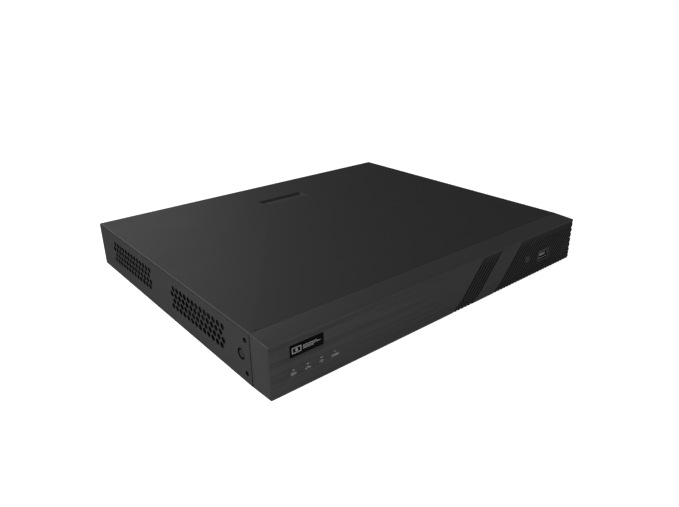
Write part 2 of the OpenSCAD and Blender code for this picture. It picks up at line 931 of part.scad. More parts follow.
module audio_jacks() {
    color("#c9ccd0")
    for (z = rca_zs)
        difference() {
            union() {
                rod_y(rca_x, panel_in - 0.1, panel_out + 9, z, 4.1);
                block([rca_x - 5, panel_in - 12, z - 5], [rca_x + 5, panel_in - 0.1, z + 5]);
            }
            rod_y(rca_x, panel_out - 2, panel_out + 10, z, 3.4);
        }
}

module vga_port() {
    z = board_top + 6.3;
    color("#2b4fa0")
    difference() {
        union() {
            block([vga_x - 15, panel_in - 12, board_top], [vga_x + 15, panel_in - 0.1, z + 6]);
            drawn_y(panel_in - 0.2, panel_out + 5)
                translate([vga_x, z])
                    soft_rect(16.6, 8.4, 2);
        }
        for (row = [-1 : 1], i = [-2 : 2])
            rod_y(vga_x + i * 2.3 + row * 0.6, panel_out + 1, panel_out + 6, z + row * 2.1, 0.6);
    }
}

module hdmi_port() {
    z = board_top + 3;
    color("#c9ccd0") {
        difference() {
            block([hdmi_x - 7.5, panel_in - 10, z - 3], [hdmi_x + 7.5, panel_out + 0.8, z + 2.9]);
            block([hdmi_x - 7, panel_in - 9, z - 2.4], [hdmi_x + 7, panel_out + 1, z + 2.4]);
        }
        block([hdmi_x - 5.5, panel_in - 9.5, z - 0.6], [hdmi_x + 5.5, panel_out, z + 0.6]);
    }
}

module lan_port() {
    z = board_top;
    color("#c9ccd0")
    difference() {
        block([lan_x - 8, panel_in - 20, z], [lan_x + 8, panel_out + 0.8, z + 13.6]);
        block([lan_x - 5.9, panel_in - 13, z + 2], [lan_x + 5.9, panel_out + 1, z + 9]);
        block([lan_x - 3, panel_in - 13, z + 8.9], [lan_x + 3, panel_out + 1, z + 11]);
    }
}

module rear_usb_ports() {
    color("#c9ccd0") {
        difference() {
            block([usb_rear_x - 6.7, panel_in - 14, board_top], [usb_rear_x + 6.7, panel_out + 0.8, board_top + 15.6]);
            for (dz = [1, 8.9])
                block([usb_rear_x - 6.2, panel_in - 12, board_top + dz],
                      [usb_rear_x + 6.2, panel_out + 1, board_top + dz + 5.6]);
        }
        for (dz = [4.4, 12.3])
            block([usb_rear_x - 5.6, panel_in - 12.5, board_top + dz],
                  [usb_rear_x + 5.6, panel_out, board_top + dz + 1.8]);
    }
}

module alarm_terminals() {
    color("#2f7d4a")
    difference() {
        block([alarm_x - 11, panel_in - 10, board_top], [alarm_x + 11, panel_out + 6, board_top + 12]);
        for (i = [-2.5 : 2.5]) {
            block([alarm_x + i * 3.5 - 1.2, panel_out + 2, board_top + 2],
                  [alarm_x + i * 3.5 + 1.2, panel_out + 7, board_top + 5]);
            rod_y(alarm_x + i * 3.5, panel_out + 4, panel_out + 7, board_top + 9, 1.3);
        }
    }
}

module power_jack() {
    z = board_top + 5.6;
    color("#1a1a1c") {
        difference() {
            block([power_x - 4.5, panel_in - 13, board_top], [power_x + 4.5, panel_out + 1, board_top + 11]);
            rod_y(power_x, panel_in - 9, panel_out + 2, z, 3.2);
        }
        rod_y(power_x, panel_in - 9.5, panel_out, z, 1);
    }
}

module switch_housing() {
    color("#1a1a1c")
    difference() {
        union() {
            block([rocker_x - 5.9, panel_in - 13, rocker_z - 8.3], [rocker_x + 5.9, panel_out + eps, rocker_z + 8.3]);
            block([rocker_x - 7, panel_out, rocker_z - 9.5], [rocker_x + 7, panel_out + 1.4, rocker_z + 9.5]);
        }
        block([rocker_x - 4.8, rocker_y - 6, rocker_z - 7.5], [rocker_x + 4.8, panel_out + 2, rocker_z + 7.5]);
        rod_x(rocker_x - 5.5, rocker_x + 5.5, rocker_y, rocker_z, 1.05);
    }
}

// Rocker key, tilted to its off side, on two stub pins
module switch_rocker() {
    color("#26262a")
    translate([0, rocker_y, rocker_z])
        rotate([rocker_tilt, 0, 0]) {
            drawn_x(rocker_x - 4.4, rocker_x + 4.4)
                polygon([[-2, -6.5], [2.9, -6.5], [1.9, 0], [2.9, 6.5], [-2, 6.5]]);
            rod_x(rocker_x - 5.3, rocker_x + 5.3, 0, 0, 1);
        }
}

// ---- fan, drawn with its axis along Z and its outlet face on z = 0 ----

module fan_place() {
    translate([fan_x, fan_y, fan_z])
        rotate([90, 0, 0])
            children();
}

module fan_frame() {
    half = fan_side / 2;
    color("#1a1a1c")
    fan_place() {
        difference() {
            translate([-half, -half, 0])
                cube([fan_side, fan_side, fan_t]);
            translate([0, 0, -1])
                cylinder(r = half - 1, h = fan_t + 2, $fn = 96);
            for (s = [-1, 1], t = [-1, 1])
                translate([s * fan_hole, t * fan_hole, -1])
                    cylinder(r = 1.45, h = fan_t + 2);
        }
        difference() {
            union() {
                cylinder(r = 10.5, h = 1.4);
                for (a = [45 : 90 : 315])
                    rotate([0, 0, a])
                        translate([9, -1, 0])
                            cube([half - 9, 2, 1.4]);
                cylinder(r = 2.6, h = 7.4);
                translate([0, 0, 2])
                    cylinder(r = 8.2, h = 4.6);
            }
            translate([0, 0, 0.6])
                cylinder(r = 1.05, h = 8);
        }
    }
}

// Hub cup, axle and seven pitched blades
module fan_rotor() {
    color("#26262a")
    fan_place() {
        translate([0, 0, 0.9])
            cylinder(r = 1, h = 7.4);
        difference() {
            translate([0, 0, 1.9])
                cylinder(r = 10.6, h = 7.5);
            translate([0, 0, 1.8])
                cylinder(r = 9.4, h = 6.2);
        }
        for (i = [0 : 6])
            intersection() {
                difference() {
                    translate([0, 0, 2])
                        cylinder(r = fan_side / 2 - 1.6, h = 7.2);
                    translate([0, 0, 1])
                        cylinder(r = 10.2, h = 9);
                }
                rotate([0, 0, i * 360 / 7])
                    translate([10, 0, 5.6])
                        rotate([38, 0, 0])
                            translate([-1, -8, -0.5])
                                cube([12, 16, 1]);
            }
    }
}

module fan_screws() {
    color("#8d9094")
    for (s = [-1, 1], t = [-1, 1])
        translate([fan_x + s * fan_hole, panel_out, fan_z + t * fan_hole])
            along_y()
                screw(2.8, 1.6, 1.45, 8);
}

// Two-wire lead from the fan's frame to its plug on the main board
module fan_lead() {
    plug_x = board_x1 - 8;
    plug_y = board_y1 - 22;
    color("#222224") {
        block([plug_x - 4, plug_y - 3, board_top], [plug_x + 4, plug_y + 3, board_top + 8]);
        wire([[plug_x, plug_y, board_top + 7], [plug_x, plug_y, board_top + 12], [fan_x - 24, plug_y, board_top + 12],
              [fan_x - 24, panel_in - 5, board_top + 12], [fan_x - 20.1, panel_in - 5, board_top + 12]], 1);
    }
}

chassis_tray();
rear_panel();
top_cover();
cover_side_screws();
cover_nuts();
cover_rear_screws();
front_bezel();
front_window();
light_pipes();
status_leds();
remote_receiver();
led_board();
usb_board();
power_button();
button_switch();
switch_plunger();
front_usb_shell();
front_usb_tongue();
front_board_screws();
case_screws();
led_cable();
usb_cable();
main_board();
board_standoffs();
board_screws();
video_chip();
heat_sink();
memory_chips();
capacitors();
cell_holder();
coin_cell();
drive_sockets();
drive_casting(drive_x);  // drive_1_casting
drive_lid(drive_x);  // drive_1_lid
drive_board(drive_x);  // drive_1_board
drive_casting(drive_x + drive_step);  // drive_2_casting
drive_lid(drive_x + drive_step);  // drive_2_lid
drive_board(drive_x + drive_step);  // drive_2_board
drive_screws();
drive_data_cables();
drive_power_cable();
bnc_housing();
bnc_shells();
bnc_insulators();
bnc_pins();
audio_jacks();
vga_port();
hdmi_port();
lan_port();
rear_usb_ports();
alarm_terminals();
power_jack();
switch_housing();
switch_rocker();
ground_screw();
fan_frame();
fan_rotor();
fan_screws();
fan_lead();
rubber_feet();
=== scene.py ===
"""Studio model of a security video recorder, laid out as an add-on and run as a script.

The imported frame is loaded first, and the places and sizes of the pieces start from its boxes.
Lengths are in metres, and MM turns millimetres into them. The front faces -Y and +Z is up.
"""

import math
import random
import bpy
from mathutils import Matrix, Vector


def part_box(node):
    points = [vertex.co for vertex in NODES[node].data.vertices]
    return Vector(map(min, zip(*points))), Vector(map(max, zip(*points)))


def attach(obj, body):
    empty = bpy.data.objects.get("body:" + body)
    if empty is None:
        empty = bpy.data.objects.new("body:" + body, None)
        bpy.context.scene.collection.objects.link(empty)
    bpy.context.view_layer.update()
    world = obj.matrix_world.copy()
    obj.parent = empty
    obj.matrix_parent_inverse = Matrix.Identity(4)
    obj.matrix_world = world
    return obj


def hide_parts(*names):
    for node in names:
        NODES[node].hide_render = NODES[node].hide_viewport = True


bl_info = {
    "name": "Video recorder model",
    "version": (1, 0, 0),
    "blender": (4, 5, 0),
    "location": "3D View > Sidebar > Recorder",
    "description": "Builds the detailed pieces, the finishes and the studio of a video recorder",
    "category": "Object",
}

import bmesh
import bpy
from bpy.props import FloatProperty, FloatVectorProperty, IntProperty, PointerProperty
from mathutils import Matrix, Vector

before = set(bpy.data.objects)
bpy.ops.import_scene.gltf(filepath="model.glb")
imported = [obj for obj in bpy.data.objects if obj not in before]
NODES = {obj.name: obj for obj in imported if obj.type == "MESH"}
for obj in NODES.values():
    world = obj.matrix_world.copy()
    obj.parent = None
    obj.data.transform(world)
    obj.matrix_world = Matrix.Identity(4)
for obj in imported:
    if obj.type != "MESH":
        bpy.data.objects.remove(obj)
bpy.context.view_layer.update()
MM = 0.001
SIDES = (-1, 1)

COVER_LOW, COVER_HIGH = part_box("top_cover")
BEZEL_LOW, BEZEL_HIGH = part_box("front_bezel")
PANEL_LOW, PANEL_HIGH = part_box("rear_panel")
BOARD_LOW, BOARD_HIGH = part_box("main_board")
FRONT = BEZEL_LOW.y
FLOOR = COVER_LOW.z
ROOF = COVER_HIGH.z
HALF = COVER_HIGH.x


# ---- shapes ----

def middle(node):
    """Middle of a CAD node's box."""
    low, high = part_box(node)
    return (low + high) / 2


def add_block(bm, low, high):
    """Box between two corners, as new geometry of bm. Returns its vertices."""
    low, high = Vector(low), Vector(high)
    place = Matrix.Translation((low + high) / 2) @ Matrix.Diagonal((*(high - low), 1))
    return bmesh.ops.create_cube(bm, size=1, matrix=place)["verts"]


AXIS_TURN = {
    "x": Matrix.Rotation(math.pi / 2, 4, "Y"),
    "y": Matrix.Rotation(-math.pi / 2, 4, "X"),
    "z": Matrix.Identity(4),
}


def add_rod(bm, axis, start, length, radius, end_radius=None, segments=32):
    """Round bar from start along an axis. Returns its vertices."""
    turn = AXIS_TURN[axis]
    place = Matrix.Translation(Vector(start)) @ turn @ Matrix.Translation((0, 0, length / 2))
    return bmesh.ops.create_cone(
        bm, cap_ends=True, segments=segments, radius1=radius,
        radius2=radius if end_radius is None else end_radius, depth=length, matrix=place,
    )["verts"]


def add_lathe(bm, axis, start, profile, steps=32):
    """Closed turned shape, from (distance along the axis, radius) pairs.

    The profile starts and ends on the axis, or its ends are joined.
    """
    before = set(bm.verts)
    ring = [bm.verts.new((radius, 0, along)) for along, radius in profile]
    edges = [bm.edges.new(pair) for pair in zip(ring, ring[1:])]
    closed = profile[0][1] > 0 or profile[-1][1] > 0
    if closed:
        edges.append(bm.edges.new((ring[-1], ring[0])))
    bmesh.ops.spin(
        bm, geom=ring + edges, cent=(0, 0, 0), axis=(0, 0, 1), angle=2 * math.pi, steps=steps,
        use_merge=True, use_duplicate=False,
    )
    made = [v for v in bm.verts if v not in before]
    bmesh.ops.remove_doubles(bm, verts=made, dist=1e-6)
    made = [v for v in bm.verts if v not in before]
    bmesh.ops.transform(bm, matrix=Matrix.Translation(Vector(start)) @ AXIS_TURN[axis], verts=made)
    return made


def in_mm(marks):
    """Profile for add_lathe from pairs given in millimetres."""
    return [(along * MM, radius * MM) for along, radius in marks]


def bevel(bm, edges, width, segments, **more):
    """Rounds the given edges."""
    bmesh.ops.bevel(
        bm, geom=edges, offset=width, affect="EDGES", segments=segments, profile=0.5, material=-1, **more
    )


def cut_plane(bm, parts, point, normal):
    """Adds a cut where a plane crosses the given parts of a mesh."""
    bmesh.ops.bisect_plane(bm, geom=parts, plane_co=point, plane_no=normal, dist=1e-7)


def soften(bm, width, segments=2, angle=30, verts=None):
    """Bevels the edges sharper than angle, all over or on the edges of verts."""
    limit = math.radians(angle)
    chosen = set(verts) if verts else None
    edges = [
        e for e in bm.edges
        if e.is_manifold and e.calc_face_angle(0) > limit
        and (not chosen or all(v in chosen for v in e.verts))
    ]
    if edges:
        bevel(bm, edges, width, segments, clamp_overlap=True)


def deep_edges(bm, verts=None, reach=MM):
    """Edges that run from front to back, of the whole mesh or of verts."""
    return [
        e for e in bm.edges
        if abs(e.verts[0].co.y - e.verts[1].co.y) > reach
        and (verts is None or all(v in verts for v in e.verts))
    ]


def soft_block(low, high, width=0.3 * MM, segments=2):
    """New bmesh holding one box with rounded edges."""
    bm = bmesh.new()
    add_block(bm, low, high)
    soften(bm, width, segments)
    return bm


def join(bm, other, place=Matrix.Identity(4), free=False):
    """Adds a copy of another bmesh, moved by place."""
    mesh = bpy.data.meshes.new("joined")
    other.to_mesh(mesh)
    before = set(bm.verts)
    bm.from_mesh(mesh)
    bpy.data.meshes.remove(mesh)
    bmesh.ops.transform(bm, matrix=place, verts=[v for v in bm.verts if v not in before])
    if free:
        other.free()


def copy_of(bm):
    """New bmesh with the same mesh."""
    other = bmesh.new()
    join(other, bm)
    return other


def add_soft(bm, low, high, width=0.3 * MM, segments=2):
    """Adds one box with rounded edges."""
    join(bm, soft_block(low, high, width, segments), free=True)


def carve(piece, cutter, operation="DIFFERENCE"):
    """Cuts a bmesh out of a piece, or joins it on, and frees that bmesh."""
    mesh = bpy.data.meshes.new("cutter")
    bmesh.ops.recalc_face_normals(cutter, faces=cutter.faces)
    cutter.to_mesh(mesh)
    cutter.free()
    tool = bpy.data.objects.new("cutter", mesh)
    bpy.context.scene.collection.objects.link(tool)
    step = piece.modifiers.new("cut", "BOOLEAN")
    step.object = tool
    step.operation = operation
    step.solver = "MANIFOLD"
    materials = list(piece.data.materials)
    apply_modifiers(piece)
    piece.data.materials.clear()
    for material in materials:
        piece.data.materials.append(material)
    for face in piece.data.polygons:
        face.material_index = min(face.material_index, len(materials) - 1)
    bpy.data.objects.remove(tool)
    bpy.data.meshes.remove(mesh)


def apply_modifiers(piece):
    """Leaves the piece with the mesh its modifiers make."""
    bpy.context.view_layer.update()
    depsgraph = bpy.context.evaluated_depsgraph_get()
    finished = bpy.data.meshes.new_from_object(piece.evaluated_get(depsgraph))
    worn_out = piece.data
    piece.modifiers.clear()
    piece.data = finished
    bpy.data.meshes.remove(worn_out)


def smooth(piece, angle=30):
    """Smooth shading that keeps edges sharper than angle."""
    piece.data.shade_smooth()
    piece.data.set_sharp_from_angle(angle=math.radians(angle))


def make_piece(name, bm, body, material, replaced=(), angle=30):
    """Turns a bmesh into a finished piece that rides on a body."""
    bmesh.ops.remove_doubles(bm, verts=bm.verts, dist=1e-7)
    bmesh.ops.recalc_face_normals(bm, faces=bm.faces)
    mesh = bpy.data.meshes.new(name)
    bm.to_mesh(mesh)
    bm.free()
    piece = bpy.data.objects.new(name, mesh)
    bpy.context.scene.collection.objects.link(piece)
    mesh.materials.append(material)
    smooth(piece, angle)
    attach(piece, body)
    if replaced:
        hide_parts(*replaced)
    return piece


def edit(piece, change):
    """Runs change(bmesh) on a piece's mesh."""
    bm = bmesh.new()
    bm.from_mesh(piece.data)
    change(bm)
    bm.to_mesh(piece.data)
    bm.free()


def take_mesh(piece):
    """Turns a helper piece back into a bmesh, and removes it."""
    bm = bmesh.new()
    mesh = piece.data
    bm.from_mesh(mesh)
    bpy.data.objects.remove(piece)
    bpy.data.meshes.remove(mesh)
    return bm


# ---- finishes ----

def node_group(name, inputs, outputs):
    """Empty shader group with float, vector or colour sockets."""
    group = bpy.data.node_groups.new(name, "ShaderNodeTree")
    kinds = {"f": "NodeSocketFloat", "v": "NodeSocketVector", "c": "NodeSocketColor"}
    for label, kind, default in inputs:
        socket = group.interface.new_socket(label, in_out="INPUT", socket_type=kinds[kind])
        socket.default_value = default
    for label, kind in outputs:
        group.interface.new_socket(label, in_out="OUTPUT", socket_type=kinds[kind])
    return group, group.nodes.new("NodeGroupInput"), group.nodes.new("NodeGroupOutput")


def math_node(tree, operation, *values, clamp=False):
    """Math node whose inputs are numbers or sockets. Returns its output."""
    node = tree.nodes.new("ShaderNodeMath")
    node.operation = operation
    node.use_clamp = clamp
    for socket, value in zip(node.inputs, values):
        if isinstance(value, (int, float)):
            socket.default_value = value
        else:
            tree.links.new(value, socket)
    return node.outputs[0]


def noise_node(tree, vector, scale, detail=2.0, roughness=0.5):
    """Noise texture over a vector socket. Returns its factor."""
    node = tree.nodes.new("ShaderNodeTexNoise")
    node.inputs["Detail"].default_value = detail
    node.inputs["Roughness"].default_value = roughness
    tree.links.new(vector, node.inputs["Vector"])
    if isinstance(scale, (int, float)):
        node.inputs["Scale"].default_value = scale
    else:
        tree.links.new(scale, node.inputs["Scale"])
    return node.outputs["Fac"]


def grain_group():
    """Fine moulded or powder-coated grain: a height and a mottled mask."""
    group, entry, leave = node_group(
        "Surface grain", [("Vector", "v", (0, 0, 0)), ("Size", "f", 1.0)],
        [("Height", "f"), ("Mottle", "f")],
    )
    scale = math_node(group, "DIVIDE", 1.0, entry.outputs["Size"])
    fine = noise_node(group, entry.outputs["Vector"], scale, detail=3.0, roughness=0.6)
    pits = group.nodes.new("ShaderNodeTexVoronoi")
    group.links.new(entry.outputs["Vector"], pits.inputs["Vector"])
    group.links.new(scale, pits.inputs["Scale"])
    height = math_node(group, "ADD", math_node(group, "MULTIPLY", fine, 0.6),
                       math_node(group, "MULTIPLY", pits.outputs["Distance"], 0.4))
    broad = noise_node(group, entry.outputs["Vector"], 22.0, detail=3.0)
    group.links.new(height, leave.inputs["Height"])
    group.links.new(broad, leave.inputs["Mottle"])
    return group


def streak_group():
    """Brushed streaks along X: short and long scratches as a height and a tone."""
    group, entry, leave = node_group(
        "Brushed streaks", [("Vector", "v", (0, 0, 0)), ("Length", "f", 0.03), ("Width", "f", 0.0005)],
        [("Height", "f"), ("Tone", "f")],
    )
    split = group.nodes.new("ShaderNodeSeparateXYZ")
    group.links.new(entry.outputs["Vector"], split.inputs[0])

    def layer(length_scale, width_scale, offset):
        """Noise drawn out along X, as one set of scratches."""
        along = math_node(group, "DIVIDE", split.outputs["X"],
                          math_node(group, "MULTIPLY", entry.outputs["Length"], length_scale))
        across = math_node(group, "DIVIDE", math_node(group, "ADD", split.outputs["Z"], offset),
                           math_node(group, "MULTIPLY", entry.outputs["Width"], width_scale))
        depth = math_node(group, "DIVIDE", split.outputs["Y"],
                          math_node(group, "MULTIPLY", entry.outputs["Width"], width_scale))
        combined = group.nodes.new("ShaderNodeCombineXYZ")
        for socket, value in zip(combined.inputs, (along, depth, across)):
            group.links.new(value, socket)
        return noise_node(group, combined.outputs[0], 1.0, detail=3.0, roughness=0.65)

    fine = layer(1.0, 1.0, 0.0)
    broad = layer(2.5, 3.0, 0.31)
    tone = math_node(group, "ADD", math_node(group, "MULTIPLY", fine, 0.5),
                     math_node(group, "MULTIPLY", broad, 0.5))
    group.links.new(fine, leave.inputs["Height"])
    group.links.new(tone, leave.inputs["Tone"])
    return group


def edge_group():
    """Mask of the edges, from how a rounded normal leaves the true one, broken up by noise."""
    group, entry, leave = node_group(
        "Rubbed edges", [("Vector", "v", (0, 0, 0)), ("Radius", "f", 0.0004)], [("Mask", "f")]
    )
    rounded = group.nodes.new("ShaderNodeBevel")
    rounded.samples = 4
    group.links.new(entry.outputs["Radius"], rounded.inputs["Radius"])
    true_normal = group.nodes.new("ShaderNodeNewGeometry")
    dot = group.nodes.new("ShaderNodeVectorMath")
    dot.operation = "DOT_PRODUCT"
    group.links.new(rounded.outputs["Normal"], dot.inputs[0])
    group.links.new(true_normal.outputs["Normal"], dot.inputs[1])
    bend = math_node(group, "SUBTRACT", 1.0, dot.outputs["Value"])
    edge = math_node(group, "MULTIPLY", bend, 6.0, clamp=True)
    patches = noise_node(group, entry.outputs["Vector"], 120.0, detail=4.0)
    broken = math_node(group, "MULTIPLY", patches, 1.6, clamp=True)
    mask = math_node(group, "MULTIPLY", edge, broken, clamp=True)
    group.links.new(mask, leave.inputs["Mask"])
    return group


def dust_group():
    """Thin dust on upward faces, thicker in patches."""
    group, entry, leave = node_group("Settled dust", [("Vector", "v", (0, 0, 0))], [("Mask", "f")])
    facing = group.nodes.new("ShaderNodeNewGeometry")
    split = group.nodes.new("ShaderNodeSeparateXYZ")
    group.links.new(facing.outputs["Normal"], split.inputs[0])
    tilt = math_node(group, "SUBTRACT", split.outputs["Z"], 0.5)
    upward = math_node(group, "MULTIPLY", tilt, 2.0, clamp=True)
    patches = noise_node(group, entry.outputs["Vector"], 35.0, detail=5.0, roughness=0.65)
    specks = noise_node(group, entry.outputs["Vector"], 900.0, detail=1.0)
    raised = math_node(group, "MULTIPLY", math_node(group, "SUBTRACT", specks, 0.62), 6.0, clamp=True)
    settled = math_node(group, "ADD", math_node(group, "MULTIPLY", patches, 0.5), raised)
    amount = math_node(group, "MULTIPLY", upward, settled, clamp=True)
    group.links.new(amount, leave.inputs["Mask"])
    return group


GROUPS = {}


def shared_group(name):
    """Builds a shared effect once."""
    makers = {"grain": grain_group, "streaks": streak_group, "edges": edge_group, "dust": dust_group}
    if name not in GROUPS:
        GROUPS[name] = makers[name]()
    return GROUPS[name]


def use_group(tree, name, vector, **values):
    """Places a shared effect in a material with its own values."""
    node = tree.nodes.new("ShaderNodeGroup")
    node.node_tree = shared_group(name)
    tree.links.new(vector, node.inputs["Vector"])
    for label, value in values.items():
        node.inputs[label].default_value = value
    return node


def mix_colour(tree, factor, first, second):
    """Mix of two colours, each a tuple or a socket, by a factor socket. Returns the result socket."""
    node = tree.nodes.new("ShaderNodeMix")
    node.data_type = "RGBA"
    tree.links.new(factor, node.inputs["Factor"])
    for label, value in (("A", first), ("B", second)):
        socket = [s for s in node.inputs if s.name == label and s.type == "RGBA"][0]
        if isinstance(value, (tuple, list)):
            socket.default_value = (*value[:3], 1.0)
        else:
            tree.links.new(value, socket)
    return [s for s in node.outputs if s.type == "RGBA"][0]


def scaled(colour, factor):
    """Colour times a factor."""
    return tuple(min(1.0, c * factor) for c in colour[:3])


FINISHES = {}
DUST_COLOUR = (0.32, 0.31, 0.30)
COAT_ROUGHNESS = 0.08


def finish(name, colour, roughness=0.5, metallic=0.0, grain=0.5, bump=0.02, mottle=0.12, streaks=None,
           streak_bump=0.0, edge=0.0, edge_colour=None, edge_radius=0.35, dust=0.0, coat=0.0,
           specular=0.5, spread=0.08, glow=None):
    """Procedural material, made once for each name.

    grain, edge_radius and the bump depths are in millimetres, and streaks holds their length and width in
    millimetres and their contrast. mottle and streaks shift the base colour, edge lightens rubbed edges
    and dust settles on upward faces.
    """
    if name in FINISHES:
        return FINISHES[name]
    material = bpy.data.materials.new(name)
    material.use_nodes = True
    tree = material.node_tree
    tree.nodes.clear()
    shader = tree.nodes.new("ShaderNodeBsdfPrincipled")
    out = tree.nodes.new("ShaderNodeOutputMaterial")
    tree.links.new(shader.outputs["BSDF"], out.inputs["Surface"])
    place = tree.nodes.new("ShaderNodeTexCoord").outputs["Object"]
    fine = use_group(tree, "grain", place, Size=grain * MM)
    paint = mix_colour(tree, fine.outputs["Mottle"], scaled(colour, 1 - mottle),
                       scaled(colour, 1 + mottle))
    heights = [(fine.outputs["Height"], bump)]
    if streaks:
        length, width, amount = streaks
        brushed = use_group(tree, "streaks", place, Length=length * MM, Width=width * MM)
        lifted = math_node(tree, "SUBTRACT", brushed.outputs["Tone"], 0.36)
        tone = math_node(tree, "MULTIPLY", lifted, 3.2, clamp=True)
        dark = mix_colour(tree, fine.outputs["Mottle"], scaled(colour, 1 - amount - mottle),
                          scaled(colour, 1 - amount + mottle))
        bright = mix_colour(tree, fine.outputs["Mottle"], scaled(colour, 1 + amount - mottle),
                            scaled(colour, 1 + amount + mottle))
        paint = mix_colour(tree, tone, dark, bright)
        heights.append((brushed.outputs["Height"], streak_bump))
    if edge:
        rubbed = use_group(tree, "edges", place, Radius=edge_radius * MM)
        mask = math_node(tree, "MULTIPLY", rubbed.outputs["Mask"], edge, clamp=True)
        paint = mix_colour(tree, mask, paint, edge_colour or scaled(colour, 2.2))
    uneven = math_node(tree, "MULTIPLY", fine.outputs["Mottle"], spread)
    rough = math_node(tree, "ADD", roughness - spread / 2, uneven)
    if dust:
        settled = use_group(tree, "dust", place)
        film = math_node(tree, "MULTIPLY", settled.outputs["Mask"], dust, clamp=True)
        paint = mix_colour(tree, film, paint, DUST_COLOUR)
        rough = math_node(tree, "ADD", rough, math_node(tree, "MULTIPLY", film, 0.5), clamp=True)
    tree.links.new(paint, shader.inputs["Base Color"])
    tree.links.new(rough, shader.inputs["Roughness"])
    shader.inputs["Metallic"].default_value = metallic
    shader.inputs["Coat Weight"].default_value = coat
    shader.inputs["Coat Roughness"].default_value = COAT_ROUGHNESS
    shader.inputs["Specular IOR Level"].default_value = specular
    if glow:
        shader.inputs["Emission Color"].default_value = (*glow[:3], 1)
        shader.inputs["Emission Strength"].default_value = glow[3]
    normal = None
    for height, depth in heights:
        if depth:
            step = tree.nodes.new("ShaderNodeBump")
            step.inputs["Strength"].default_value = 1.0
            step.inputs["Distance"].default_value = depth * MM
            tree.links.new(height, step.inputs["Height"])
            if normal:
                tree.links.new(normal, step.inputs["Normal"])
            normal = step.outputs["Normal"]
    if normal:
        tree.links.new(normal, shader.inputs["Normal"])
    FINISHES[name] = material
    return material


def case_settings():
    """Colours and vents that a user can change."""
    return bpy.context.scene.recorder_case


def powder_coat():
    """Fine black powder coat of the folded sheet."""
    return finish("powder_coat", case_settings().coat_colour, roughness=0.62, grain=0.55, bump=0.035,
                  mottle=0.07, edge=0.5, edge_radius=0.4, dust=0.03, specular=0.32)


def fold_highlight():
    """Painted highlight on the upper half of the fold: the same coat, made paler and a little smoother."""
    return finish("fold_highlight", scaled(case_settings().coat_colour, 1.9), roughness=0.42, grain=0.55,
                  bump=0.01, mottle=0.06, specular=0.5)


def fold_shade():
    """Painted shade on the lower half of the fold: the same coat, made darker and duller."""
    return finish("fold_shade", scaled(case_settings().coat_colour, 0.45), roughness=0.7, grain=0.55,
                  bump=0.02, mottle=0.06, specular=0.15)


def opening_shade():
    """Painted shade: near-black walls of the punched holes and the screw dimples, and the inside of the
    front USB sleeve.
    """
    return finish("opening_shade", (0.006, 0.006, 0.006), roughness=0.7, grain=0.3, bump=0.004, mottle=0.1,
                  specular=0.1)


def moulded_black():
    """Satin moulding of the bezel's sides and back."""
    return finish("moulded_black", case_settings().moulding_colour, roughness=0.5, grain=0.3, bump=0.012,
                  mottle=0.05, edge=0.6, edge_radius=0.4, dust=0.02, specular=0.4)


def bezel_edge_highlight():
    """Painted highlight: rounded edges of the bezel, made paler and glossier."""
    return finish("bezel_edge_highlight", scaled(case_settings().moulding_colour, 2.6), roughness=0.36, grain=0.3,
                  bump=0.004, mottle=0.05, specular=0.5)


def bezel_top_lit():
    """Painted light: top of the bezel, made a little paler than its sides."""
    return finish("bezel_top_lit", scaled(case_settings().moulding_colour, 1.42), roughness=0.5, grain=0.3,
                  bump=0.012, mottle=0.05, dust=0.02, specular=0.4)


def brushed_face():
    """Dark brushed film on the bezel's front."""
    return finish("brushed_face", case_settings().face_colour, roughness=0.42, metallic=0.25, grain=0.3,
                  bump=0.004, mottle=0.04, streaks=(110, 0.8, 0.34), streak_bump=0.012, edge=0.8,
                  edge_radius=0.35, specular=0.45)


def ribbed_face():
    """Slightly darker moulded grain of the ribbed fields."""
    return finish("ribbed_face", case_settings().rib_colour, roughness=0.5, grain=0.3, bump=0.01,
                  mottle=0.08, edge=0.4, edge_radius=0.25, specular=0.4)


def groove_shade():
    """Painted shade: near-black floors of the deep grooves between the ribs."""
    return finish("groove_shade", (0.009, 0.009, 0.0095), roughness=0.6, grain=0.3, bump=0.006,
                  mottle=0.1, specular=0.12)


def groove_half_shade():
    """Painted half shade on the shallower upper ends of the grooves, lighter than their floors."""
    return finish("groove_half_shade", (0.02, 0.02, 0.0205), roughness=0.55, grain=0.3, bump=0.006, mottle=0.1,
                  specular=0.25)


def gloss_black():
    """Smoked window that hides the receiver behind it."""
    return finish("gloss_black", (0.0025, 0.0025, 0.003), roughness=0.12, grain=0.8, bump=0.0, mottle=0.3,
                  specular=0.06, spread=0.04)


def plated_steel():
    """Bare zinc-plated steel of the inner screws and chip legs."""
    return finish("plated_steel", (0.5, 0.5, 0.51), roughness=0.33, metallic=1.0, grain=0.4, bump=0.004,
                  mottle=0.1, streaks=(6, 0.25, 0.1), streak_bump=0.003, edge=0.5, edge_radius=0.2)


def dark_steel():
    """Blackened steel of the outer screws, bright where it is rubbed."""
    return finish("dark_steel", (0.022, 0.022, 0.023), roughness=0.38, metallic=0.4, grain=0.4,
                  bump=0.006, mottle=0.15, edge=0.9, edge_colour=(0.1, 0.1, 0.105), edge_radius=0.25)


def nickel():
    """Bright plated socket metal."""
    return finish("nickel", (0.62, 0.61, 0.59), roughness=0.26, metallic=1.0, grain=0.4, bump=0.003,
                  mottle=0.06, edge=0.3, edge_radius=0.2)


def gold():
    """Gilded contacts."""
    return finish("contact_gold", (0.8, 0.58, 0.22), roughness=0.25, metallic=1.0, grain=0.3, bump=0.0,
                  mottle=0.08)


def black_plastic():
    """Moulded socket bodies, holders and the fan."""
    return finish("black_plastic", (0.014, 0.014, 0.015), roughness=0.5, grain=0.35, bump=0.012,
                  mottle=0.12, edge=0.3, edge_radius=0.25, specular=0.4)


def chip_black():
    """Dull resin of the chips."""
    return finish("chip_black", (0.012, 0.012, 0.013), roughness=0.55, grain=0.3, bump=0.01, mottle=0.1)


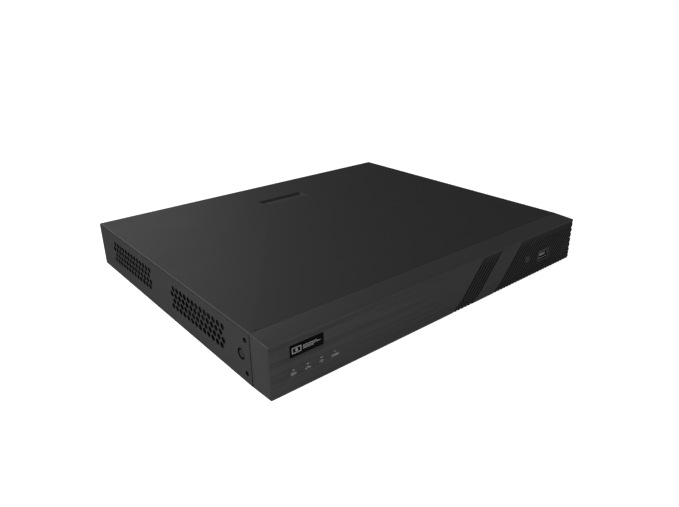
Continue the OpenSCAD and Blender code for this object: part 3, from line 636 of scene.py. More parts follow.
def anodised():
    """Black heat sink, pale along its fins' edges."""
    return finish("anodised_black", (0.03, 0.032, 0.036), roughness=0.42, metallic=0.7, grain=0.4,
                  bump=0.008, mottle=0.1, edge=0.8, edge_colour=(0.2, 0.2, 0.21), edge_radius=0.2)


def board_green():
    """Green lacquer of the circuit boards, with their bare laminate at the edges."""
    return finish("board_green", (0.012, 0.09, 0.035), roughness=0.35, grain=1.2, bump=0.02, mottle=0.3,
                  coat=0.3, edge=0.5, edge_colour=(0.3, 0.28, 0.15), edge_radius=0.3)


# ---- settings ----

class CaseSettings(bpy.types.PropertyGroup):
    """Colours and vents of the case"""

    coat_colour: FloatVectorProperty(
        name="Cover colour", description="Colour of the powder coat", subtype="COLOR",
        default=(0.0345, 0.0345, 0.035), min=0, max=1)
    moulding_colour: FloatVectorProperty(
        name="Moulding colour", description="Colour of the bezel's top and sides", subtype="COLOR",
        default=(0.036, 0.036, 0.0365), min=0, max=1)
    face_colour: FloatVectorProperty(
        name="Front colour", description="Colour of the brushed front", subtype="COLOR",
        default=(0.08, 0.08, 0.0812), min=0, max=1)
    rib_colour: FloatVectorProperty(
        name="Rib colour", description="Colour of the ribbed fields", subtype="COLOR",
        default=(0.043, 0.043, 0.044), min=0, max=1)
    vent_diameter: FloatProperty(
        name="Vent diameter", description="Diameter of each side vent hole", default=5.4 * MM,
        min=3 * MM, max=5.6 * MM, unit="LENGTH", precision=5)
    vent_pitch: FloatProperty(
        name="Vent pitch", description="Pitch of the vent holes along a row", default=6.9 * MM,
        min=6.5 * MM, max=7 * MM, unit="LENGTH", precision=5)
    vent_row: FloatProperty(
        name="Vent row distance", description="Height between two rows of vent holes", default=5.85 * MM,
        min=5.6 * MM, max=6 * MM, unit="LENGTH", precision=5)
    vent_columns: IntProperty(
        name="Vent columns", description="Vent holes in a row", default=13, min=4, max=13)
    vent_rows: IntProperty(
        name="Vent rows", description="Rows of vent holes", default=4, min=2, max=4)


class BezelSettings(bpy.types.PropertyGroup):
    """Ribs and fields of the bezel"""

    rib_pitch: FloatProperty(
        name="Rib pitch", description="Pitch of the slanted ribs along the width", default=4.7 * MM,
        min=4 * MM, max=6 * MM, unit="LENGTH", precision=5)
    groove_width: FloatProperty(
        name="Groove width", description="Width of a groove, square to it", default=1.75 * MM,
        min=0.8 * MM, max=2 * MM, unit="LENGTH", precision=5)
    groove_depth: FloatProperty(
        name="Groove depth", description="Depth of a groove", default=1.3 * MM,
        min=0.4 * MM, max=1.5 * MM, unit="LENGTH", precision=5)
    band_left: FloatProperty(
        name="Band foot", description="Foot of the slanted band's left edge", default=4.8 * MM,
        unit="LENGTH", precision=5)
    band_width: FloatProperty(
        name="Band width", description="Width of the slanted band", default=28 * MM,
        unit="LENGTH", precision=5)
    field_left: FloatProperty(
        name="End field foot", description="Foot of the ribbed end field's left edge", default=62.4 * MM,
        unit="LENGTH", precision=5)


class StageSettings(bpy.types.PropertyGroup):
    """Lights and lens of the studio"""

    key_power: FloatProperty(
        name="Near light", description="Power of the soft light close at the left", default=2.35,
        min=0, unit="POWER")
    back_power: FloatProperty(
        name="Back light", description="Power of the soft light behind", default=5.3, min=0, unit="POWER")
    fill_power: FloatProperty(
        name="Front light", description="Power of the soft light at the front left", default=5.6,
        min=0, unit="POWER")
    floor_lift: FloatProperty(
        name="Floor lift", description="Brightness that the paper floor has by itself", default=1.0, min=0)
    sky: FloatProperty(
        name="Sky", description="Strength of the even light all round", default=0.13, min=0)
    lens: FloatProperty(
        name="Lens", description="Focal length on a 36 mm wide sensor", default=31.07, min=10)


# ---- stage ----

class RECORDER_OT_stage(bpy.types.Operator):
    """Pale floor, soft studio lights and the camera"""

    bl_idname = "recorder.stage"
    bl_label = "Stage"

    camera_place = (-0.3627, -0.4495, 0.2601)
    camera_turn = (66.834, 0.716, -39.770)

    def area_light(self, name, place, target, size, power, tint=(1, 1, 1)):
        """Soft rectangular light aimed at a target."""
        data = bpy.data.lights.new(name, "AREA")
        data.shape = "RECTANGLE"
        data.size, data.size_y = size
        data.energy = power
        data.color = tint
        light = bpy.data.objects.new(name, data)
        light.location = place
        aim = Vector(target) - Vector(place)
        light.rotation_euler = aim.to_track_quat("-Z", "Y").to_euler()
        bpy.context.scene.collection.objects.link(light)

    def floor(self):
        """Wide paper floor, a little brighter to the eye than its light alone makes it."""
        bm = bmesh.new()
        bmesh.ops.create_grid(bm, x_segments=2, y_segments=2, size=40)
        mesh = bpy.data.meshes.new("studio_floor")
        bm.to_mesh(mesh)
        bm.free()
        floor = bpy.data.objects.new("studio_floor", mesh)
        bpy.context.scene.collection.objects.link(floor)
        paper = finish("floor_paper", (0.74, 0.74, 0.74), roughness=0.9, grain=2, bump=0.0, mottle=0.004,
                       specular=0.1)
        tree = paper.node_tree
        seen = tree.nodes.new("ShaderNodeLightPath").outputs["Is Camera Ray"]
        shader = [n for n in tree.nodes if n.type == "BSDF_PRINCIPLED"][0]
        shader.inputs["Emission Color"].default_value = (1, 1, 1, 1)
        lift = math_node(tree, "MULTIPLY", seen, bpy.context.scene.recorder_stage.floor_lift)
        tree.links.new(lift, shader.inputs["Emission Strength"])
        mesh.materials.append(paper)

    def sky(self, strength):
        """Even white light all round, with plain white behind the object."""
        scene = bpy.context.scene
        world = bpy.data.worlds.new("studio")
        world.use_nodes = True
        scene.world = world
        tree = world.node_tree
        tree.nodes.clear()
        out = tree.nodes.new("ShaderNodeOutputWorld")
        around = tree.nodes.new("ShaderNodeBackground")
        around.inputs["Color"].default_value = (1, 1, 1, 1)
        around.inputs["Strength"].default_value = strength
        seen = tree.nodes.new("ShaderNodeBackground")
        seen.inputs["Color"].default_value = (1, 1, 1, 1)
        path = tree.nodes.new("ShaderNodeLightPath")
        mix = tree.nodes.new("ShaderNodeMixShader")
        tree.links.new(path.outputs["Is Camera Ray"], mix.inputs[0])
        tree.links.new(around.outputs[0], mix.inputs[1])
        tree.links.new(seen.outputs[0], mix.inputs[2])
        tree.links.new(mix.outputs[0], out.inputs[0])

    def execute(self, context):
        stage = context.scene.recorder_stage
        self.floor()
        self.sky(stage.sky)
        middle_of_case = (0, 0, 0.03)
        self.area_light("near_light", (-0.7, -0.1, 0.45), middle_of_case, (0.4, 0.4), stage.key_power)
        self.area_light("back_light", (0.2, 1.8, 0.9), middle_of_case, (1.0, 0.7), stage.back_power)
        self.area_light("front_light", (-1.3, -1.1, 0.6), middle_of_case, (0.8, 0.6), stage.fill_power)
        data = bpy.data.cameras.new("camera")
        data.lens = stage.lens
        data.sensor_width = 36
        camera = bpy.data.objects.new("camera", data)
        camera.location = self.camera_place
        camera.rotation_euler = [math.radians(a) for a in self.camera_turn]
        context.scene.collection.objects.link(camera)
        context.scene.camera = camera
        context.scene.view_settings.view_transform = "Standard"
        return {"FINISHED"}


# ---- cover ----

class RECORDER_OT_cover(bpy.types.Operator):
    """Folded cover with side vents, finger recess and screw dimples"""

    bl_idname = "recorder.cover"
    bl_label = "Top cover"

    bend = 1.5 * MM
    sheet = 0.9 * MM
    dimple = 4.75 * MM
    dimple_depth = 1.2 * MM
    grip_left, grip_right = -28 * MM, 31 * MM
    grip_front, grip_back = FRONT + 244 * MM, FRONT + 265 * MM
    grip_drop = 2.4 * MM
    grip_wall = 1.1 * MM
    grip_lean = 3 * MM
    first_vents = (FRONT + 60.8 * MM, FRONT + 192.6 * MM)
    vent_low = FLOOR + 15.55 * MM
    vent_stagger = 3.4 * MM
    ear = (FRONT + 28.8 * MM, FLOOR + 22.25 * MM, 13.95 * MM)
    ear_bore = 2.1 * MM
    screw_bore = 1.7 * MM
    tab_half, tab_drop = 7 * MM, 9 * MM

    def folded(self):
        """Sheet folded over both sides, with the finger recess pressed in."""
        bm = bmesh.new()
        corners = [(-HALF, FLOOR), (-HALF, ROOF), (HALF, ROOF), (HALF, FLOOR)]
        front = [bm.verts.new((x, COVER_LOW.y, z)) for x, z in corners]
        edges = [bm.edges.new(pair) for pair in zip(front, front[1:])]
        pulled = bmesh.ops.extrude_edge_only(bm, edges=edges)["geom"]
        depth = COVER_HIGH.y - COVER_LOW.y
        lengthened = [v for v in pulled if isinstance(v, bmesh.types.BMVert)]
        bmesh.ops.translate(bm, vec=(0, depth, 0), verts=lengthened)
        self.press_recess(bm)
        folds = [
            e for e in bm.edges
            if all(abs(abs(v.co.x) - HALF) < 1e-6 and v.co.z > ROOF - 1e-6 for v in e.verts)
        ]
        bevel(bm, folds, self.bend, 6)
        bmesh.ops.recalc_face_normals(bm, faces=bm.faces)
        return bm

    def split_top(self, bm, point, normal, chosen=None):
        """Cuts the faces of the top, or the chosen ones, along a plane."""
        faces = chosen or [f for f in bm.faces if f.calc_center_median().z > ROOF - 1e-4]
        rim = {e for f in faces for e in f.edges}
        corners = {v for f in faces for v in f.verts}
        cut_plane(bm, [*faces, *rim, *corners], point, normal)

    def pan_faces(self, bm, margin=0.0):
        """Faces of the top inside the recess's outline."""
        found = []
        length = self.grip_back - self.grip_front
        for face in bm.faces:
            spot = face.calc_center_median()
            lean = self.grip_lean * (self.grip_back - spot.y) / length
            across = self.grip_left + lean + margin < spot.x < self.grip_right - lean - margin
            along = self.grip_front + margin < spot.y < self.grip_back - margin
            if across and along and spot.z > ROOF - 1e-4:
                found.append(face)
        return found

    def press_recess(self, bm):
        """Scoop that falls towards the back and ends in a steep wall for the fingertips."""
        length = self.grip_back - self.grip_front
        self.split_top(bm, (0, self.grip_front, 0), (0, 1, 0))
        self.split_top(bm, (0, self.grip_back, 0), (0, 1, 0))
        self.split_top(bm, (self.grip_left, self.grip_back, 0), (length, self.grip_lean, 0))
        self.split_top(bm, (self.grip_right, self.grip_back, 0), (length, -self.grip_lean, 0))
        pan = self.pan_faces(bm)
        bmesh.ops.inset_region(bm, faces=pan, thickness=self.grip_wall, use_even_offset=True)
        steps = 6
        inner = 0.95 * self.grip_wall
        near, far = self.grip_front + self.grip_wall, self.grip_back - self.grip_wall
        for step in range(1, steps):
            y = near + (far - near) * step / steps
            self.split_top(bm, (0, y, 0), (0, 1, 0), self.pan_faces(bm, inner))
        floor = {v for f in self.pan_faces(bm, inner) for v in f.verts}
        for vert in floor:
            along = (vert.co.y - near) / (far - near)
            vert.co.z -= self.grip_drop * (0.25 * along + 0.75 * along * along)
        lips = []
        for edge in bm.edges:
            spot = (edge.verts[0].co + edge.verts[1].co) / 2
            inside = abs(spot.x) < 40 * MM and self.grip_front - MM < spot.y < self.grip_back + MM
            if inside and edge.is_manifold and edge.calc_face_angle(0) > math.radians(18):
                lips.append(edge)
        bevel(bm, lips, 0.35 * MM, 3, clamp_overlap=True)

    def execute(self, context):
        piece = make_piece("cover_shell", self.folded(), "cover", powder_coat(), ["top_cover"])
        wall = piece.modifiers.new("sheet", "SOLIDIFY")
        wall.thickness = self.sheet
        wall.offset = -1
        wall.use_even_offset = True
        apply_modifiers(piece)
        screw = middle("cover_side_screws")
        self.add_cups_and_tabs(piece, screw)
        self.pierce(piece, screw)
        pockets = bmesh.new()
        for side in SIDES:
            low = min(side * (HALF - self.dimple_depth), side * (HALF + 2 * MM))
            add_rod(pockets, "x", (low, screw.y, screw.z), 2 * MM + self.dimple_depth, self.dimple,
                    segments=40)
        carve(piece, pockets)
        edit(piece, lambda bm: soften(bm, 0.08 * MM, 1, 50))
        smooth(piece, 32)
        self.paint(piece, screw.y, screw.z)
        return {"FINISHED"}

    def add_cups_and_tabs(self, piece, screw):
        """Metal behind the screw dimples, and the tabs that the rear screws hold."""
        extra = bmesh.new()
        for side in SIDES:
            start = side * (HALF - self.sheet - self.dimple_depth)
            low = min(start, side * (HALF - 0.5 * self.sheet))
            add_rod(extra, "x", (low, screw.y, screw.z), self.sheet / 2 + self.dimple_depth,
                    self.dimple + self.sheet)
        for head in self.tab_places():
            add_block(extra, (head - self.tab_half, COVER_HIGH.y - self.sheet, ROOF - self.tab_drop),
                      (head + self.tab_half, COVER_HIGH.y, ROOF - 0.5 * MM))
        carve(piece, extra, "UNION")

    def pierce(self, piece, screw):
        """Vents, rack-ear holes, screw holes and the small reliefs at the front corners."""
        case = case_settings()
        holes = bmesh.new()
        across = 2 * HALF + 4 * MM
        for first in self.first_vents:
            for row in range(case.vent_rows):
                for column in range(case.vent_columns):
                    y = first + (self.vent_stagger if row % 2 == 0 else 0) + column * case.vent_pitch
                    add_rod(holes, "x", (-across / 2, y, self.vent_low + row * case.vent_row), across,
                            case.vent_diameter / 2, segments=28)
        ear_y, ear_z, ear_step = self.ear
        for step in SIDES:
            add_rod(holes, "x", (-across / 2, ear_y, ear_z + step * ear_step), across, self.ear_bore,
                    segments=28)
        add_rod(holes, "x", (-across / 2, screw.y, screw.z), across, self.screw_bore, segments=24)
        for x in self.tab_places():
            add_rod(holes, "y", (x, COVER_HIGH.y - 3 * MM, middle("cover_rear_screws").z), 6 * MM,
                    self.screw_bore)
        for side in SIDES:
            add_rod(holes, "z", (side * (HALF - 7 * MM), COVER_LOW.y, ROOF - 2 * MM), 4 * MM, 1.2 * MM,
                    segments=20)
        carve(piece, holes)

    def paint(self, piece, screw_y, screw_z):
        """Painted highlight on the upper halves of the folds and painted shade on their lower halves, and
        painted shade on the walls of the holes and in the dimples.
        """
        for material in (fold_highlight(), fold_shade(), opening_shade()):
            piece.data.materials.append(material)
        for face in piece.data.polygons:
            spot = face.center
            fold = spot.z > ROOF - self.bend and abs(spot.x) > HALF - self.bend
            dimple = math.hypot(spot.y - screw_y, spot.z - screw_z) < self.dimple + 0.1 * MM
            through = HALF - 1.2 * self.sheet < abs(spot.x) < HALF - 0.1 * self.sheet
            wall = through and abs(face.normal.x) < 0.3
            # Painted highlight on the upper half of each fold, painted shade on its lower half.
            if fold and face.normal.z > 0.15 and abs(face.normal.x) > 0.15:
                face.material_index = 1 if face.normal.z > 0.6 else 2
            # Painted shade on the walls of the vents and holes and in the screw dimples.
            elif (wall and spot.z < ROOF - 3 * MM) or (dimple and abs(spot.x) < HALF - 0.2 * MM):
                face.material_index = 3

    def tab_places(self):
        """Middles of the three rear tabs, from the screws in them."""
        low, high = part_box("cover_rear_screws")
        head = 2.8 * MM
        return [low.x + head, -14 * MM, high.x - head]


# ---- bezel ----

class RECORDER_OT_bezel(bpy.types.Operator):
    """Moulded bezel with slanted ribbed fields and every opening of its front"""

    bl_idname = "recorder.bezel"
    bl_label = "Front bezel"

    draft = 0.5 * MM
    top_fall, foot_rise = -1.0 * MM, 0.5 * MM
    back_rise, back_set = 0.35 * MM, 0.1 * MM
    rounding = 0.55 * MM
    wall = 2.2 * MM
    side_wall = 3.7 * MM
    sunk = 0.3 * MM
    top_strip = 2.2 * MM
    fade_length = 15 * MM
    fade_depth = 0.35 * MM
    fade_steps = 4
    slope = math.radians(40.8)
    bend_height = FLOOR + 8 * MM
    bend_lean = 0.52

    def form(self):
        """Solid drawn in towards its front, with every edge but the back ones rounded."""
        bm = bmesh.new()
        add_block(bm, BEZEL_LOW, BEZEL_HIGH)
        for vert in bm.verts:
            upper = vert.co.z > 0.03
            if vert.co.y < FRONT + MM:
                vert.co.x -= math.copysign(self.draft, vert.co.x)
                vert.co.z += self.top_fall if upper else self.foot_rise
            else:
                vert.co.y += self.back_set
                vert.co.z += self.back_rise if upper else 0
        bevel(bm, [e for e in bm.edges if min(v.co.y for v in e.verts) < FRONT + MM], self.rounding, 4)
        bmesh.ops.recalc_face_normals(bm, faces=bm.faces)
        return bm

    def slanted(self, bm, left, right, low, high, depth, fade_from=None):
        """Box cut into the front, given in the ribs' own directions: across them and along them.

        It gets shallow from fade_from to its upper end.
        """
        single = bmesh.new()
        add_block(single, (left, FRONT - 2 * MM, low), (right, FRONT + depth, high))
        if fade_from:
            for step in range(self.fade_steps):
                place = fade_from + (high - fade_from) * step / self.fade_steps
                cut_plane(single, [*single.verts, *single.edges, *single.faces], (0, 0, place), (0, 0, 1))
            for vert in single.verts:
                if vert.co.y > FRONT and vert.co.z > fade_from:
                    faded = (vert.co.z - fade_from) / (high - fade_from)
                    vert.co.y = FRONT + depth + (self.fade_depth - depth) * faded
        turn = Matrix.Translation((0, 0, FLOOR)) @ Matrix.Rotation(self.slope, 4, "Y")
        join(bm, single, turn, free=True)

    def groove(self, bm, left, width, low, depth):
        """One groove that gets shallow towards the top edge."""
        across = left + width / 2
        top = BEZEL_HIGH.z - self.top_strip - FLOOR
        high = (top + across * math.sin(self.slope)) / math.cos(self.slope)
        self.slanted(bm, left, left + width, low, high + 2 * MM, depth, high - self.fade_length)

    def bend_feet(self, bm):
        """Leans the lowest part of the cutters further over."""
        cut_plane(bm, [*bm.verts, *bm.edges, *bm.faces], (0, 0, self.bend_height), (0, 0, 1))
        for vert in bm.verts:
            if vert.co.z < self.bend_height:
                vert.co.x -= (self.bend_height - vert.co.z) * self.bend_lean

    def fields(self, bezel):
        """Spans of the ribbed fields, square to the ribs."""
        lean = math.cos(self.slope)
        return [(bezel.band_left * lean, (bezel.band_left + bezel.band_width) * lean),
                (bezel.field_left * lean, 300 * MM * lean)]

    def execute(self, context):
        bezel = context.scene.recorder_bezel
        piece = make_piece("bezel_shell", self.form(), "case", moulded_black(),
                           ["front_bezel"])
        hollow = bmesh.new()
        side = self.side_wall
        add_block(hollow, (side - HALF, FRONT + self.wall, BEZEL_LOW.z + 2 * MM),
                  (HALF - side, BEZEL_HIGH.y + MM, BEZEL_HIGH.z - 3.6 * MM))
        carve(piece, hollow)
        self.ribs(piece, bezel)
        self.openings(piece)
        self.bosses(piece)
        self.paint(piece)
        smooth(piece, 28)
        return {"FINISHED"}

    def ribs(self, piece, bezel):
        """Sinks the ribbed fields a little, and cuts their grooves."""
        lean = math.cos(self.slope)
        pitch = bezel.rib_pitch * lean
        reach = (-40 * MM, 330 * MM)
        sunk, grooves = bmesh.new(), bmesh.new()
        last = (HALF + 2 * MM) * lean + 45 * MM * lean
        for left, right in self.fields(bezel):
            right = min(right, last)
            self.slanted(sunk, left, right, *reach, self.sunk)
            place = left + 1.6 * MM
            while place + bezel.groove_width < right:
                self.groove(grooves, place, bezel.groove_width, reach[0], bezel.groove_depth)
                place += pitch
        pad = self.usb_pad()
        for cutter in (sunk, grooves):
            self.bend_feet(cutter)
            tool = make_piece("field_cutter", cutter, "case", moulded_black())
            carve(tool, copy_of(pad))
            carve(piece, take_mesh(tool))
        pad.free()

    def usb_pad(self):
        """Places the fields leave plain: a pad round the USB port and a strip along the top."""
        place = middle("front_usb_shell")
        bm = bmesh.new()
        half = Vector((9.7 * MM, 6 * MM, 5.8 * MM))
        centre = Vector((place.x, FRONT, place.z + 0.8 * MM))
        add_block(bm, centre - half, centre + half)
        bevel(bm, deep_edges(bm, reach=5 * MM), 1.5 * MM, 5)
        add_block(bm, (-2 * HALF, FRONT - 4 * MM, BEZEL_HIGH.z - self.top_strip),
                  (2 * HALF, FRONT + 4 * MM, 1))
        return bm

    def openings(self, piece):
        """Cuts the window, the four lights, the USB port and the button's round hole."""
        holes = bmesh.new()
        near = FRONT - 2 * MM
        deep = FRONT + self.wall + 2 * MM
        low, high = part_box("front_window")
        gap = 0.05 * MM
        verts = add_block(holes, (low.x - gap, near, low.z - gap), (high.x + gap, deep, high.z + gap))
        bevel(holes, deep_edges(holes, verts), 0.7 * MM, 4)
        for x, z in light_places():
            add_block(holes, (x - 1.1 * MM, near, z - 0.35 * MM), (x + 1.1 * MM, deep, z + 0.35 * MM))
        low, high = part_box("front_usb_shell")
        add_block(holes, (low.x - 0.65 * MM, near, low.z - 0.95 * MM),
                  (high.x + 0.65 * MM, deep, high.z + 0.95 * MM))
        button = middle("power_button")
        add_rod(holes, "y", (button.x, near, button.z), deep - near, 4.1 * MM, segments=48)
        carve(piece, holes)
        edit(piece, self.round_openings)

    def round_openings(self, bm):
        """Small rounding on the rims of the openings in the plain front."""
        rims = []
        for e in bm.edges:
            flat = all(abs(v.co.y - FRONT) < 1e-5 for v in e.verts)
            if flat and e.is_manifold and e.calc_face_angle(0) > math.radians(60):
                rims.append(e)
        bevel(bm, rims, 0.12 * MM, 2, clamp_overlap=True)

    def bosses(self, piece):
        """Screw bosses inside, which reach back to the tray's front wall."""
        bm = bmesh.new()
        for x in (-108, -20, 72, 172):
            add_lathe(bm, "y", (x * MM, FRONT + 1.2 * MM, FLOOR + 33 * MM),
                      in_mm([(0, 3.8), (19, 3.4), (20.6, 3.1), (20.6, 1.3), (10, 1.3), (10, 0)]), 24)
        for x, z, length in ((-176, 10, 9.3), (-126, 10, 9.3), (100, 28, 14.3), (156, 28, 14.3)):
            add_lathe(bm, "y", (x * MM, FRONT + 1.2 * MM, FLOOR + z * MM),
                      in_mm([(0, 2.6), (length, 2.3), (length, 0.9), (length - 5, 0.9), (length - 5, 0)]),
                      20)
        bmesh.ops.recalc_face_normals(bm, faces=bm.faces)
        edit(piece, lambda whole: join(whole, bm, free=True))

    def paint(self, piece):
        """Brushed film on the flat front, ribbed grain in the sunk fields with painted shade in the
        grooves, a painted highlight on the rounded top edges, a paler painted light on the top, plain
        moulding elsewhere.
        """
        for material in (brushed_face(), ribbed_face(), groove_shade(), bezel_edge_highlight(), bezel_top_lit(),
                         groove_half_shade()):
            piece.data.materials.append(material)
        for face in piece.data.polygons:
            depth = face.center.y - FRONT
            if depth < 0.06 * MM and face.normal.y < -0.9:
                face.material_index = 1
            # Painted shade in the grooves: floors near black, the middle-deep parts a lighter painted half
            # shade.
            elif 0.06 * MM < depth < 1.5 * MM and self.in_field(face.center):
                face.material_index = 3 if depth > 0.95 * MM else 6 if depth > 0.6 * MM else 2
            # Painted highlight on the rounded edges along the top.
            elif face.center.z > BEZEL_HIGH.z - 2 * MM and max(abs(a) for a in face.normal) < 0.96:
                face.material_index = 4
            # Painted light: the top is paler than the sides.
            elif face.normal.z > 0.9 and face.center.z > BEZEL_HIGH.z - 1.2 * MM:
                face.material_index = 5

    def in_field(self, point):
        """Whether a place on the front lies in one of the ribbed fields."""
        bezel = bpy.context.scene.recorder_bezel
        foot = point.x - (point.z - FLOOR) * math.tan(self.slope)
        foot += max(0.0, self.bend_height - point.z) * self.bend_lean
        band = bezel.band_left < foot < bezel.band_left + bezel.band_width
        return band or foot > bezel.field_left


def light_places():
    """Middles of the four status lights across and up, from the light pipes' box."""
    low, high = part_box("light_pipes")
    half = 1.3 * MM
    step = (high.x - low.x - 2 * half) / 3
    z = (low.z + high.z) / 2
    return [(low.x + half + i * step, z) for i in range(4)]


class RECORDER_OT_window(bpy.types.Operator):
    """Glossy window with a generic recording mark, and the small signs under the status lights"""

    bl_idname = "recorder.window"
    bl_label = "Window and signs"

    def ring(self, bm, x, z, outer, inner, y, thick):
        """Flat ring standing on the plane at y."""
        add_lathe(bm, "y", (x, y - thick, z),
                  [(0, inner), (0, outer), (thick, outer), (thick, inner)], 24)

    def execute(self, context):
        low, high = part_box("front_window")
        pane = bmesh.new()
        add_block(pane, low, high)
        bevel(pane, deep_edges(pane), 0.65 * MM, 4)
        rim = [e for e in pane.edges if all(v.co.y < low.y + 1e-6 for v in e.verts)]
        bevel(pane, rim, 0.25 * MM, 3)
        make_piece("window_pane", pane, "case", gloss_black(), ["front_window"], 40)
        self.window_mark(low, high)
        self.signs()
        return {"FINISHED"}

    def window_mark(self, low, high):
        """Outlined rounded box with a round dot, and three plain bars beside it."""
        ink = finish("printed_grey", (0.5, 0.5, 0.51), roughness=0.45, grain=0.2, bump=0.0, mottle=0.05)
        y = low.y
        thick = 0.06 * MM
        centre = Vector((low.x + 6.0 * MM, y, (low.z + high.z) / 2))
        outer = soft_block(centre + Vector((-4.0 * MM, -thick, -2.4 * MM)),
                           centre + Vector((4.0 * MM, 0, 2.4 * MM)), 0)
        frame_piece = make_piece("window_mark", outer, "case", ink)
        hole = bmesh.new()
        add_block(hole, centre + Vector((-3.3 * MM, -MM, -1.7 * MM)),
                  centre + Vector((3.3 * MM, MM, 1.7 * MM)))
        carve(frame_piece, hole)
        bars = bmesh.new()
        bars.from_mesh(frame_piece.data)
        add_rod(bars, "y", (centre.x, y - thick, centre.z), thick, 1.15 * MM, segments=28)
        for i, width in enumerate((12.5, 15.5, 9.5)):
            z = centre.z + (1 - i) * 1.25 * MM
            start = centre.x + 5.4 * MM
            add_block(bars, (start, y - thick, z - 0.27 * MM), (start + width * MM, y, z + 0.27 * MM))
        bars.to_mesh(frame_piece.data)
        bars.free()

    def signs(self):
        """Plain signs: a drive, a network, a bell and a plug, one under each light."""
        ink = finish("printed_white", (0.48, 0.48, 0.48), roughness=0.5, grain=0.2, bump=0.0, mottle=0.04)
        thick = 0.05 * MM
        y = FRONT
        bm = bmesh.new()
        for index, (x, z) in enumerate(light_places()):
            base = z - 3.0 * MM

            def bar(x0, x1, z0, z1):
                """Flat bar, in millimetres from the sign's middle."""
                add_block(bm, (x + x0 * MM, y - thick, base + z0 * MM), (x + x1 * MM, y, base + z1 * MM))

            if index == 0:
                for z0 in (-1.0, -0.2, 0.6):
                    bar(-2.5, 1.4, z0, z0 + 0.45)
                add_rod(bm, "y", (x + 2.1 * MM, y - thick, base - 0.1 * MM), thick, 0.42 * MM, segments=20)
            elif index == 1:
                bar(-2.3, -0.9, -1.0, 0.1)
                bar(-0.6, 0.8, -0.1, 1.0)
                bar(1.1, 2.5, -1.0, 0.1)
                bar(-0.1, 0.3, -0.9, -0.1)
            elif index == 2:
                self.ring(bm, x, base, 1.05 * MM, 0.65 * MM, y, thick)
                add_rod(bm, "y", (x, y - thick, base), thick, 0.35 * MM, segments=16)
                bar(-2.2, -1.4, -0.2, 0.2)
                bar(1.4, 2.2, -0.2, 0.2)
            else:
                self.ring(bm, x - 2.4 * MM, base, 1.05 * MM, 0.65 * MM, y, thick)
                bar(-2.6, -2.2, 0.2, 1.15)
                bar(-0.9, 4.0, -0.95, -0.5)
                bar(-0.9, 2.6, -0.2, 0.25)
                bar(-0.9, 3.4, 0.55, 1.0)
        make_piece("front_signs", bm, "case", ink)


